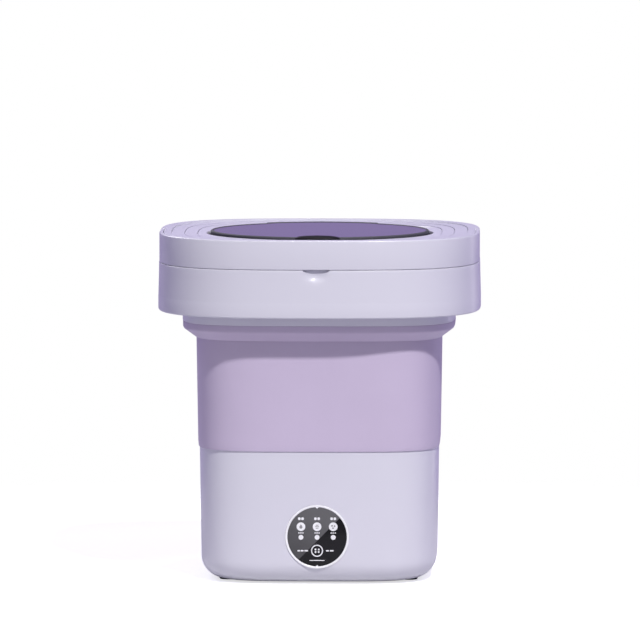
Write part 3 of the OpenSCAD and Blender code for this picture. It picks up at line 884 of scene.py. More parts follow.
class WASHER_OT_rim_skirt(bpy.types.Operator):
    """Build the rim's skirt with its finger notch, and the floor that closes the rim from below"""

    bl_idname = "washer.rim_skirt"
    bl_label = "Rim skirt"

    def execute(self, context):
        rim, tub = sizes("rim"), sizes("tub")
        close = FRONT + np.radians(np.arange(-8, 8.01, 0.4)) + 1e-5
        angles = spread(288, close)
        notch_half = 11.5

        def at(grow, z):
            flat = superellipse(rim.half, rim.square, grow, angles)
            return ring(flat, z)

        top = rim.seam
        foot = [(rim.flare, rim.bottom + 12, 0), (rim.flare, rim.bottom, 1.6)]
        foot += [(-2, rim.bottom, 0.3), (-2, rim.bottom + 9, 0)]
        edge = rounded(foot, 5, False)
        inner = [(-2.7, top - 3), (-6.2, top - 3), (-6.2, top)]
        lip = rounded([(-6.2, top, 0), (0.3, top, 0.7), (0.3, top - 3, 0)], 4, False)
        heights = np.arange(top - 3.6, rim.bottom + 12.5, -1.2)
        side = [(0.3 + (rim.flare - 0.3) * smooth(z, top, rim.bottom + 4), z) for z in heights]
        profile = list(edge) + inner + list(lip)[1:] + side
        rings = [at(g, z) for g, z in profile]
        points, faces = loft(rings)
        front = points[:, 1] < 0
        outer = np.linalg.norm(points[:, :2], axis=1) > rim.half - 1.6
        dish = 2.4 * np.exp(-((points[:, 0] / 7.5) ** 2) - ((points[:, 2] - (top - 5.0)) / 4.0) ** 2)
        points[:, 1] += np.where(front & outer, dish, 0)
        skirt = form("rim_band", (points, faces), finish("lilac_plastic"))
        t = np.linspace(0, TURN, 48, endpoint=False)
        oval = np.stack([notch_half * np.cos(t), 2.9 * np.sin(t)], 1)
        carve(skirt, facing_front(prism(oval, 0, 30), 0, -rim.half + 3.4, top + 0.1))
        place(skirt, "upper_frame", "lilac_abs", "rim_skirt")

        angles = spread(288)
        down = tub.collar_half + 0.3

        def tubbed(half, z):
            return ring(superellipse(half, tub.square, 0, angles), z)

        rings = [at(-2.9, rim.bottom + 2), at(-2.9, rim.bottom + 4.5)]
        rings += [tubbed(tub.soft_half + 0.5, rim.bottom + 4.5), tubbed(tub.soft_half + 0.5, rim.bottom + 2)]
        rings += [tubbed(down - 3.8, rim.bottom + 2), tubbed(down - 3.8, tub.collar_top)]
        lip = [(down - 3.8, tub.collar_top, 0), (down, tub.collar_top, 0.7), (down, rim.bottom + 2, 0)]
        rings += [tubbed(x, z) for x, z in rounded(lip, 4, False)[1:]]
        under = form("rim_underside", loft(rings), finish("lilac_plastic"))
        place(under, "upper_frame", "lilac_abs", "rim_floor")
        return {"FINISHED"}


class WASHER_OT_top_cover(bpy.types.Operator):
    """Build the top cover: side wall, handle pocket, grooved plate, mouth, finger scoop and rear slot"""

    bl_idname = "washer.top_cover"
    bl_label = "Top cover"

    def execute(self, context):
        rim, lid = sizes("rim"), sizes("lid")
        gap = 2.0
        side, arc = lid.tongue + gap / 2, lid.tongue_arc + gap
        corners = tongue_corners(rim.mouth, side, arc, lid.arc_centre)
        jump = math.asin(rim.pocket_back / rim.half / 1.004)
        twice = [jump, jump, math.pi - jump, math.pi - jump]
        close = FRONT + np.radians(np.arange(-11, 11.01, 0.55)) + 1e-5
        angles = spread(288, corners, twice, close)
        flat = superellipse(rim.half, rim.square, 0, angles)
        # The pocket is open towards the front: the second of each doubled angle belongs to it
        in_pocket = flat[:, 1] < rim.pocket_back - 0.05
        doubled = np.flatnonzero(np.abs(np.diff(angles)) < 1e-9)
        in_pocket[doubled] = angles[doubled] < math.pi / 2
        in_pocket[doubled + 1] = angles[doubled + 1] > math.pi / 2
        pocket = np.where(in_pocket, rim.pocket, 0.0)
        mouth = tongued_circle(rim.mouth, side, arc, lid.arc_centre, angles)
        rear = smooth(flat[:, 1], -95, -10)
        first, second, third, slope_end = 10.5, 22.0, 33.0, 37.0
        ledge = rim.top - 0.9

        def at(grow, z):
            return ring(superellipse(rim.half, rim.square, grow, angles), z)

        def slope(distance):
            run = (distance - first) / (slope_end - first)
            return ledge + (rim.plate - ledge) * min(1.0, run)

        def level(distance, step):
            return 0.35 * rear * (step - slope(distance)) + slope(distance)

        wall_low = rim.seam + 0.1
        rings = [at(-pocket - rim.wall, wall_low), at(-pocket, wall_low)]
        for g, z in rounded([(0, -20, 0), (0, 0, 0.9), (-4, 0, 0)], 6, False)[1:-1]:
            rings.append(at(g - pocket, rim.top + z))
        rings.append(at(-np.maximum(pocket + 1.2, 5.2), rim.top))
        groove = [(-first + 1, 0, 0), (-first + 0.35, 0, 0.25), (-first + 0.3, -2.4, 0.1)]
        groove += [(-first - 0.4, -2.4, 0.1), (-first - 0.45, -0.9, 0.15), (-first - 1.2, -0.9, 0)]
        rings += [at(g, rim.top + z) for g, z in rounded(groove, 3, False)]
        middle, line, deep = ledge - 0.8, 0.34, 1.4
        for distance, before, after in ((second, ledge, middle), (third, middle, rim.plate)):
            rings.append(at(-distance + 3.5, level(distance - 3.5, before)))
            rings.append(at(-distance + line, level(distance - line, before)))
            for side_of in (0.8, -0.8):
                rings.append(at(-distance + side_of * line, level(distance, after) - deep * rear))
            rings.append(at(-distance - line, level(distance + line, after)))
            rings.append(at(-distance - 1, level(distance + 1, after)))
        start = rings[-1]
        for share in (0.3, 0.55, 0.8):
            rings.append(start * (1 - share) + share * ring(mouth, rim.plate))
        inward = mouth / np.linalg.norm(mouth, axis=1)[:, None]
        for g, z in rounded([(4, 0, 0), (0, 0, 0.7), (0, -2.9, 0)], 4, False)[1:]:
            rings.append(ring(mouth + inward * g, rim.plate + z))
        rings.append(at(-pocket - rim.wall, rim.under))
        points, faces = loft(rings)
        x, y, z = points.T
        scoop = 1.5 * np.exp(-((x / 17) ** 2) - ((y + rim.mouth + 3.5) / 4.2) ** 2)
        points[:, 2] -= np.where((z > rim.plate - 0.8) & (y < -90), scoop, 0)
        cover = form("lid_plate", (points, faces), finish("lilac_plastic"))
        port_x, port_y, _ = middle_of("hose_socket")
        well = rounded([(0, 0, 0), (9, 0, 0), (9, 11.6, 0), (9.6, 12.2, 0), (9.6, 20, 0), (0, 20, 0)])
        slot = rounded([(-3.5, 130, 0.7), (3.5, 130, 0.7), (3.5, 132, 0.7), (-3.5, 132, 0.7)])
        well = moved(lathe(well, 64), port_x, port_y, rim.plate - 12)
        carve(cover, well, prism(slot, rim.top - 1.8, rim.top + 5))
        place(cover, "upper_frame", "lilac_abs", "top_cover")
        # dark navy pad filling the rear slot to just below its edge: a dark sheet that paints the shade
        # inside the slot
        pad = form("slot_pad", prism(slot, rim.top - 1.75, rim.top - 0.15), finish("navy_rubber"))
        place(pad, "upper_frame", "black_rubber")
        return {"FINISHED"}


class WASHER_OT_handle(bpy.types.Operator):
    """Build the swing handle, a band round the front half of the rim"""

    bl_idname = "washer.handle"
    bl_label = "Carrying handle"

    def execute(self, context):
        rim = sizes("rim")
        thick, tip, heel = rim.handle_wall, 7.5, rim.pivot_z - rim.seam - 0.3
        dense = np.linspace(-0.3, 0.3, 601)
        heights = superellipse(rim.half, rim.square, 0, dense)[:, 1]
        ends = rim.pivot_y + tip * np.sin(np.linspace(math.pi / 2, 0, 9))
        right = np.interp(ends, heights, dense)
        sweep = np.linspace(right[-1], -math.pi - right[-1], 170)[1:-1]
        angles = np.concatenate([right, sweep, (-math.pi - right)[::-1]])
        path = superellipse(rim.half, rim.square, 0, angles)
        back = np.clip(path[:, 1] - rim.pivot_y, 0, tip)
        at_back = path[:, 1] > rim.pivot_y
        crown = np.where(at_back, rim.pivot_z + np.sqrt(np.maximum(tip**2 - back**2, 0)), rim.top)
        sole = np.where(at_back, rim.pivot_z - np.sqrt(heel**2 - back**2), rim.seam + 0.3)
        profile = [(0, 0, 0.8), (0, 1, 1.3), (-thick, 1, 0.4), (-thick, 0, 0.5)]
        stations = []
        for k in range(len(angles)):
            tall = crown[k] - sole[k]
            corners = [(g, t * tall, r) for g, t, r in profile]
            cut = rounded(corners, 5)
            flat = [superellipse(rim.half, rim.square, g, angles[k : k + 1])[0] for g in cut[:, 0]]
            stations.append(np.column_stack([flat, sole[k] + cut[:, 1]]))
        band = form("carry_handle", loft(stations, looped=False, capped=True), finish("lilac_plastic"))
        place(band, "handle", "lilac_abs", "handle_bail")
        return {"FINISHED"}


class WASHER_OT_lid(bpy.types.Operator):
    """Build the smoked lid with its tongue, knuckles and finger tab, and the gasket under it"""

    bl_idname = "washer.lid"
    bl_label = "Smoked lid"

    def execute(self, context):
        lid, rim = sizes("lid"), sizes("rim")
        corners = tongue_corners(lid.radius, lid.tongue, lid.tongue_arc, lid.arc_centre)
        angles = spread(240, corners)
        border = tongued_circle(lid.radius, lid.tongue, lid.tongue_arc, lid.arc_centre, angles)
        outward = border / np.linalg.norm(border, axis=1)[:, None]
        bottom = lid.top - lid.thickness
        profile = [(-lid.radius, 0, 0), (-9, 0, 0), (-2.6, 0, 0.3), (-2.2, 0.42, 0.2), (-0.9, 0.42, 0.5)]
        profile += [(0, -0.3, 0.5), (0, -lid.thickness, 0.6), (-3, -lid.thickness, 0)]
        profile += [(-lid.radius, -lid.thickness, 0)]
        rings = []
        for g, z in rounded(profile, 4, False):
            flat = border + outward * g if g > -60 else border * 0.001
            rings.append(ring(flat, lid.top + z))
        points, faces = loft(rings, looped=False, capped=True)
        knuckles = []
        for x in (-45, 45):
            near, far = lid.hinge_y - 2.6, lid.hinge_y + 2.6
            knuckle = [(x - 3, near), (x + 3, near), (x + 3, far), (x - 3, far)]
            knuckles.append(prism(knuckle, lid.hinge_z - 2.5, bottom + 0.2))
        window = form("smoked_window", joined((points, faces), *knuckles), finish("smoked_plastic"))
        window.data.materials.append(finish("black_plastic"))
        for face in window.data.polygons:
            face.material_index = int(face.center.xy.length > (lid.radius - 3.5) * MM)
        place(window, "lid", "smoked_lid", "lid_window")

        levels = np.linspace(0, 1, 9)
        around = spread(64)
        tab_rings = []
        for t in levels:
            shrink = math.sqrt(max(1 - t**3.2, 0))
            flat = superellipse(1, 2.3, 0, around) * np.array([19.4, 7.4]) * max(shrink, 0.02)
            lift = rim.plate + 0.6 + 3.3 * t
            tab_rings.append(ring(flat + np.array([0, -92.6]), lift))
        tab = form("lid_tab", loft(tab_rings, looped=False, capped=True), finish("tab_rubber"))
        place(tab, "lid", "smoked_lid")

        seal_angles = np.linspace(math.radians(52), math.radians(-232), 200)
        arc = np.stack([np.cos(seal_angles), np.sin(seal_angles)], 1)
        inside, outside, sole = 90, 97.6, rim.plate - 2.6
        section = [(inside, sole, 0.5), (outside, sole, 0.6), (outside, bottom - 0.9, 0.8)]
        section = rounded([*section, (94, bottom - 0.02, 0.3), (inside, bottom - 0.02, 0.3)], 3)
        stations = [np.column_stack([section[:, 0:1] * a, section[:, 1]]) for a in arc]
        seal = form("lid_gasket", loft(stations, looped=False, capped=True), finish("black_rubber"))
        place(seal, "lid", "black_rubber", "lid_seal")
        return {"FINISHED"}


class WASHER_OT_hose_port(bpy.types.Operator):
    """Build the socket that parks the hose's end, with its two locking pips, seal and valve"""

    bl_idname = "washer.hose_port"
    bl_label = "Hose socket"

    def execute(self, context):
        rim = sizes("rim")
        x, y, _ = middle_of("hose_socket")
        top, floor_z = high("hose_socket", "Z") / MM, low("hose_socket", "Z") / MM
        tube_r, flange_r, bore_r = 7.3, 9.9, 4.7
        profile = [(0, floor_z, 0), (tube_r, floor_z, 0.5), (tube_r, rim.under - 2.4, 0)]
        profile += [(flange_r, rim.under - 2.4, 0.3), (flange_r, rim.under - 0.05, 0.3)]
        profile += [(tube_r, rim.under - 0.05, 0), (tube_r, top, 0.5), (bore_r, top, 0.6)]
        profile += [(bore_r, floor_z + 2, 0.3), (0, floor_z + 2, 0)]
        socket = lathe(rounded(profile, 4), 72)
        pips = []
        for s in (-1, 1):
            pad = rounded([(6.6, -0.8, 0), (8.8, -0.8, 0.4), (8.8, 0.8, 0.4), (6.6, 0.8, 0)], 3)
            pad = pad * np.array([s, s])
            pips.append(prism(pad, top - 2.2, top - 0.6))
        port = form("hose_port", moved(joined(socket, *pips), x, y, 0), finish("basket_plastic"))
        place(port, "upper_frame", "white_plastic", "hose_socket")
        washer = [(7.35, rim.under, 0), (8.95, rim.under, 0.2)]
        washer += [(8.95, top - 1.9, 0.5), (7.35, top - 1.5, 0.4)]
        valve = [(0, top - 9, 0), (4.65, top - 9, 0), (4.65, top - 6.4, 0.3), (3.2, top - 6.4, 0.2)]
        valve += [(3.2, top - 7, 0.1), (1.5, top - 7, 0.1), (1.3, top - 5.4, 0.4), (0, top - 5.2, 0)]
        seal = joined(lathe(rounded(washer, 3), 72), lathe(rounded(valve, 3, False), 48))
        seal = form("hose_seal", moved(seal, x, y, 0), finish("navy_rubber"))
        place(seal, "upper_frame", "black_rubber")
        return {"FINISHED"}


class WASHER_OT_basket(bpy.types.Operator):
    """Build the spin basket: slotted floor, perforated wall and rolled ring"""

    bl_idname = "washer.basket"
    bl_label = "Spin basket"

    def execute(self, context):
        basket = sizes("basket")
        top_z = basket.floor + 2.5
        inner, outer = 31.5, 62.5
        half_pitch = math.pi / basket.slots
        slot_half = 0.75

        def corner(r, s):
            half = r * math.sin(half_pitch) - slot_half
            return [r * math.cos(half_pitch), s * half]

        bar = [corner(inner, -1), corner(outer, -1), corner(outer, 1), corner(inner, 1)]
        bar_rings = []
        for shrink, z in ((0, basket.floor), (0, top_z - 0.35), (0.3, top_z)):
            flat = np.array(bar)
            flat[:, 1] -= np.sign(flat[:, 1]) * shrink
            bar_rings.append(ring(flat, z))
        bars = form("basket_bars", loft(bar_rings, looped=False, capped=True), finish("basket_plastic"))
        repeat(bars, turned_tree, Count=basket.slots, First_angle=half_pitch)
        place(bars, "rotor", "white_plastic")

        bottom, shaft_r = basket.floor, 4.1
        hub = [(shaft_r, bottom, 0), (inner + 0.4, bottom, 0.2)]
        hub += [(inner + 0.4, top_z, 0.3), (shaft_r, top_z, 0)]
        edge = [(outer - 0.6, bottom, 0.3), (basket.floor_radius, bottom, 0.8)]
        edge += [(basket.floor_radius + 0.4, top_z, 0), (outer - 0.6, top_z, 0.3)]
        plate = joined(lathe(rounded(hub), 96), lathe(rounded(edge), 144))
        floor = form("basket_floor", plate, finish("basket_plastic"))
        place(floor, "rotor", "white_plastic", "spin_basket")
        self.wall(basket, top_z)
        z = basket.top
        r = basket.top_radius
        rolled = [(r - 2.2, z - 0.1, 0.2), (r + 1.2, z - 0.1, 0.5), (r + 2, z + 1, 0.8), (r + 2, z + 3, 0.8)]
        rolled += [(r + 1, z + 4, 0.8), (r - 1.4, z + 4, 1), (r - 2.2, z + 3, 0.6)]
        roll = form("basket_roll", lathe(rounded(rolled, 4), 144), finish("basket_plastic"))
        place(roll, "rotor", "white_plastic", "basket_ring")
        return {"FINISHED"}

    def wall(self, basket, base_z):
        """Perforated cone: one column of cells with a hole each, turned round the basket."""
        pitch = TURN / basket.holes
        rows, row_h = 3, (basket.top - base_z) / 3.6
        hole_r = 2.3
        lift = basket.floor_radius + (basket.top_radius - basket.floor_radius) * 0.03
        points, faces = [], []

        def on_cone(u, z):
            share = (z - basket.floor) / (basket.top - basket.floor)
            r = lift - 0.2 + (basket.top_radius - 0.3 - lift) * share
            return [r * math.cos(u), r * math.sin(u), z]

        def cell(u0, z0, u1, z1, hole):
            uc, zc = (u0 + u1) / 2, (z0 + z1) / 2
            border = [(u0, z0), (uc, z0), (u1, z0), (u1, zc), (u1, z1), (uc, z1), (u0, z1), (u0, zc)]
            first = len(points)
            for u, z in border:
                points.append(on_cone(u, z))
            if not hole:
                faces.append([first + i for i in range(8)])
                return
            mean = (basket.floor_radius + basket.top_radius) / 2
            for k in range(16):
                a = -3 * math.pi / 4 + k * TURN / 16
                points.append(on_cone(uc + hole_r * math.cos(a) / mean, zc + hole_r * math.sin(a)))
            for k in range(8):
                o, o2 = first + k, first + (k + 1) % 8
                h = [first + 8 + (2 * k + i) % 16 for i in range(3)]
                faces.append([o, o2, h[2], h[1], h[0]])

        z = base_z + 0.2 * row_h
        cell(-pitch / 2, base_z - 0.6, pitch / 2, z, False)
        for row in range(rows):
            shift = pitch / 2 if row % 2 else 0
            cell(shift - pitch / 2, z, shift + pitch / 2, z + row_h, True)
            z += row_h
        cell(-pitch / 2, z, pitch / 2, basket.top, False)
        wall = form("basket_wall", (np.array(points), faces), finish("basket_plastic"))
        repeat(wall, turned_tree, Count=basket.holes, First_angle=0.0)
        work = bmesh.new()
        work.from_mesh(wall.data)
        bmesh.ops.recalc_face_normals(work, faces=work.faces)
        work.to_mesh(wall.data)
        work.free()
        thick = wall.modifiers.new("thickness", "SOLIDIFY")
        thick.thickness = 1.6 * MM
        thick.offset = -1
        settle(wall)
        place(wall, "rotor", "white_plastic")


class WASHER_OT_pulsator(bpy.types.Operator):
    """Build the pulsator: hub, disc, vanes and the screw cap"""

    bl_idname = "washer.pulsator"
    bl_label = "Pulsator"

    def execute(self, context):
        basket = sizes("basket")
        z = basket.floor + 2.55
        hub = [(0, z, 0), (30, z, 0), (30, z + 1.2, 0.6), (17, z + 3, 3), (14.6, z + 10, 2)]
        hub += [(12.4, z + 12.9, 1.6), (7, z + 13, 0.3), (6.6, z + 12.4, 0.2), (0, z + 12.4, 0)]
        body = form("pulsator_hub", lathe(rounded(hub, 5, False), 96), finish("basket_plastic"))
        place(body, "rotor", "lilac_abs", "pulsator")
        reach = [9, 14, 22, 31, 35, 40, 50, 58, 61.5, 62]
        left = [4.2, 4.2, 4.1, 4.1, 4.6, 5.4, 6.6, 7.0, 5.8, 4]
        right = [4.2, 4.2, 4.1, 4.2, 5.6, 7.8, 8.6, 8.4, 6.8, 5]
        tall = [11, 10.4, 9.6, 8.8, 7.6, 6.2, 4.8, 3.6, 2.2, 1]
        stations = []
        for r, a, b, h in zip(reach, left, right, tall):
            t = np.linspace(0, math.pi, 13)
            bulge = np.sin(t) ** 0.45
            width = np.where(np.cos(t) > 0, b, a) * np.sign(np.cos(t)) * abs(np.cos(t)) ** 0.55
            stations.append(np.column_stack([np.full(13, r), width, z - 0.2 + h * bulge]))
        vane = form("pulsator_vanes", loft(stations, looped=False, capped=True), finish("basket_plastic"), 40)
        repeat(vane, turned_tree, 40, Count=basket.vanes, First_angle=math.radians(8))
        place(vane, "rotor", "lilac_abs")
        low_z, top_z = low("pulsator_screw", "Z") / MM, high("pulsator_screw", "Z") / MM
        cap = [(0, low_z, 0), (1.5, low_z, 0), (1.5, z + 12.5, 0), (6, z + 12.5, 0.3)]
        cap += [(5.6, top_z - 0.5, 0.8), (0, top_z, 0)]
        screw = form("pulsator_cap", lathe(rounded(cap, 4, False), 48), finish("steel"))
        carve(screw, *cross_recess(3.2, 0.5, top_z - 1, top_z + 2))
        place(screw, "rotor", "steel", "pulsator_screw")
        return {"FINISHED"}


class WASHER_OT_feet_and_screws(bpy.types.Operator):
    """Build the rubber feet and the screws under the base and the rim"""

    bl_idname = "washer.feet_and_screws"
    bl_label = "Feet and screws"

    def execute(self, context):
        rim, tub = sizes("rim"), sizes("tub")
        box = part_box("feet")
        radius = tub.foot
        across, deep = box[1].x / MM - radius, box[1].y / MM - radius
        under, stem_r, stem = tub.bottom, 3, 4
        pad = [(0, under, 0), (0, 0.5, 0), (radius - 3.4, 0.5, 0.3), (radius - 2.8, 0, 0.3)]
        pad += [(radius - 0.8, 0, 0.6), (radius, under - 0.3, 0.5), (radius - 0.6, under, 0)]
        pad += [(stem_r, under, 0), (stem_r, under + stem, 0.4), (0, under + stem, 0)]
        feet = form("rubber_feet", lathe(rounded(pad, 4, False)[1:], 48), finish("black_rubber"))
        repeat(feet, corner_tree, Across=2 * across * MM, Deep=2 * deep * MM)
        place(feet, "base", "black_rubber", "feet")
        self.screws("base_screws", "bottom_screws", "base", tub.screws, tub.screws, tub.bottom - 1.2)
        self.screws("rim_screws", "cover_screws", "upper_frame", rim.screw_x, rim.screw_y, rim.bottom + 0.6)
        return {"FINISHED"}

    def screws(self, name, node, body, x, y, head_z):
        """Four cross head screws with their heads down."""
        length_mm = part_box(node)[1].z / MM - head_z
        profile = rounded([(0, 0, 0), (1.6, 0, 0), (2.8, 0.5, 0.5), (2.8, 1.4, 0.2), (1.5, 1.4, 0.2),
                           (1.5, length_mm - 1, 0), (0.6, length_mm, 0.2), (0, length_mm, 0)], 3, False)
        screw = form(name, moved(lathe(profile, 24), 0, 0, head_z), finish("steel"))
        carve(screw, *cross_recess(1.6, 0.3, head_z - 1, head_z + 0.7))
        repeat(screw, corner_tree, Across=2 * x * MM, Deep=2 * y * MM)
        place(screw, body, "steel", node)


class WASHER_OT_control_panel(bpy.types.Operator):
    """Build the control glass, its white ring and the printed symbols"""

    bl_idname = "washer.control_panel"
    bl_label = "Control panel"

    def execute(self, context):
        panel = sizes("panel")
        r = panel.glass
        deep = 5.5
        section = [(r + 0.1, -deep, 0), (r + 2, -deep, 0.3), (r + 2, 0, 0.7), (r + 0.9, 0, 0.3)]
        section = rounded([*section, (r + 0.1, -0.35, 0.2)], 4)
        notch = []
        for s in (-1, 1):
            tip = [(-1.7, s * (r + 0.3)), (1.7, s * (r + 0.3)), (0, s * (r - 1.1))]
            notch.append(prism(tip, -0.9, -0.12))
        rim = joined(lathe(section, 160), *notch)
        rim = facing_front(rim, 0, panel.ring_face, panel.centre)
        band = form("panel_band", rim, finish("white_plastic"))
        place(band, "base", "white_plastic", "panel_ring")
        face = rounded([(0, -2, 0), (r - 0.05, -2, 0), (r - 0.05, 0, 0.45), (0, 0.0, 0)], 4, False)
        face = facing_front(lathe(face, 160), 0, panel.face, panel.centre)
        glass = form("panel_window", face, finish("dark_glass"))
        place(glass, "base", "black_glass", "panel_glass")
        self.symbols(panel)
        return {"FINISHED"}

    def symbols(self, panel):
        """Plain symbols without lettering, one layer of white and one of grey on it."""
        around = np.linspace(0, TURN, 40, endpoint=False)
        circle = np.stack([np.cos(around), np.sin(around)], 1)

        def bar(x, z, wide, tall):
            a, b = wide / 2, tall / 2
            r = min(a, b) * 0.6
            return rounded([(x - a, z - b, r), (x + a, z - b, r), (x + a, z + b, r), (x - a, z + b, r)], 3)

        white, grey = [], []
        for k in (-1, 0, 1):
            x = k * panel.column
            white += [bar(x - 1.4, 15.7, 2.2, 2.3), bar(x + 1.4, 15.7, 2.2, 2.3)]
            white.append(circle * 3.75 + np.array([x, 8.8]))
            white += [bar(x - 1.7, 3.4, 1.1, 1.0), bar(x, 3.4, 1.3, 1.0), bar(x + 1.7, 3.4, 1.1, 1.0)]
            white.append(circle * 2.1 + np.array([x, -0.4]))
        drop = [(0.0, 10.9), (1.2, 9.0), (1.3, 8.0), (0.7, 7.2)]
        drop += [(0, 7.0), (-0.7, 7.2), (-1.3, 8.0), (-1.2, 9.0)]
        grey.append(np.array(drop)[::-1] + np.array([-panel.column, 0]))
        for k in (-1, 0, 1):
            grey.append(bar(0, 8.8 + 1.3 * k, 3.4 - abs(k), 0.6))
        for k in range(3):
            a = TURN * k / 3 + 0.4
            spot = np.array([panel.column + 1.25 * math.cos(a), 8.8 + 1.25 * math.sin(a)])
            grey.append(circle[::4] * 0.75 + spot)
        key_z = -12
        for x, wide in ((-15.8, 2.2), (-12.9, 2.6), (-9.4, 3.2), (9.0, 2.6), (12.6, 3.2)):
            white.append(bar(x, key_z, wide, 1.2))
        for side in (-1.35, 1.35):
            white += [bar(side, key_z + s * 1.1, 1.5, 1.5) for s in (-1, 1)]
        white.append(bar(0, -20.4, 13, 0.7))
        ring_band = lathe([(4.25, 0), (5.2, 0), (5.2, 0.06), (4.25, 0.06)], 64)
        marks = [prism(shape, 0, 0.06) for shape in white] + [moved(ring_band, 0, key_z, 0)]
        marks = facing_front(joined(*marks), 0, panel.face - 0.005, panel.centre)
        ink = form("panel_marks", marks, finish("printed_white"))
        place(ink, "base", "white_plastic")
        glyphs = joined(*[prism(shape, 0, 0.03) for shape in grey])
        glyphs = facing_front(glyphs, 0, panel.face - 0.06, panel.centre)
        ink = form("panel_glyphs", glyphs, finish("printed_grey"))
        place(ink, "base", "black_plastic")


class WASHER_OT_rear_ports(bpy.types.Operator):
    """Build the drain spigot with its barbs, its grommet, the power inlet and its nut"""

    bl_idname = "washer.rear_ports"
    bl_label = "Rear ports"

    def execute(self, context):
        low_y, high_y = low("drain_spigot", "Y") / MM, high("drain_spigot", "Y") / MM
        x, _, z = middle_of("drain_spigot")
        run = high_y - low_y
        profile = [(4.4, 0, 0), (7.4, 0, 0.3), (7.4, 3, 0.3), (5.7, 3, 0), (5.7, run - 11, 0)]
        for k in range(3):
            start = run - 10.6 + 3.4 * k
            profile += [(5.3, start, 0), (6, start + 0.2, 0.1), (5.4, start + 3.2, 0)]
        profile += [(5.2, run, 0.3), (4.4, run, 0.2)]
        barb = facing_back(lathe(rounded(profile, 3), 64), x, low_y, z)
        spigot = form("drain_barb", barb, finish("white_plastic"))
        place(spigot, "base", "white_plastic", "drain_spigot")
        start = low("drain_grommet", "Y") / MM
        run = high("drain_grommet", "Y") / MM - start
        profile = [(5.8, 0, 0.5), (9, 0, 0.6), (9, run - 1.9, 0.2), (11, run - 1.9, 0.3)]
        profile = rounded([*profile, (10.4, run, 0.8), (5.8, run, 0.5)], 4)
        grommet = form("drain_bush", facing_back(lathe(profile, 72), x, start, z), finish("black_rubber"))
        place(grommet, "base", "black_rubber", "drain_grommet")
        x, _, z = middle_of("power_inlet")
        start = low("power_inlet", "Y") / MM
        run = high("power_inlet", "Y") / MM - start
        shell = [(0, 0, 0), (8, 0, 0.4), (8, 4, 0.4), (6, 4, 0)]
        for k in range(6):
            shell += [(6, 5 + 1.6 * k, 0), (5.6, 5.8 + 1.6 * k, 0)]
        shell += [(6, run - 0.4, 0), (5.6, run, 0.2), (3.2, run, 0.3), (3.2, 6, 0.2)]
        shell += [(1, 6, 0), (1, run - 2, 0.3), (0, run - 1.8, 0)]
        shell = facing_back(lathe(rounded(shell, 3, False), 56), x, start, z)
        inlet = form("power_jack", shell, finish("black_plastic"))
        place(inlet, "base", "black_plastic", "power_inlet")
        start = low("inlet_nut", "Y") / MM
        run = high("inlet_nut", "Y") / MM - start
        sides = np.linspace(0, TURN, 6, endpoint=False)
        hexagon = [(8.6 * math.cos(a), 8.6 * math.sin(a), 0.25) for a in sides]
        outer = rounded(hexagon, 7)
        inner_angles = np.arctan2(outer[:, 1], outer[:, 0])
        bore = 6.05 * np.stack([np.cos(inner_angles), np.sin(inner_angles)], 1)
        shrunk = outer * 0.965
        rings = [ring(bore, 0), ring(outer, 0), ring(outer, run - 0.5), ring(shrunk, run), ring(bore, run)]
        nut = form("jack_nut", facing_back(loft(rings), x, start, z), finish("zinc"), 25)
        place(nut, "base", "zinc", "inlet_nut")
        return {"FINISHED"}


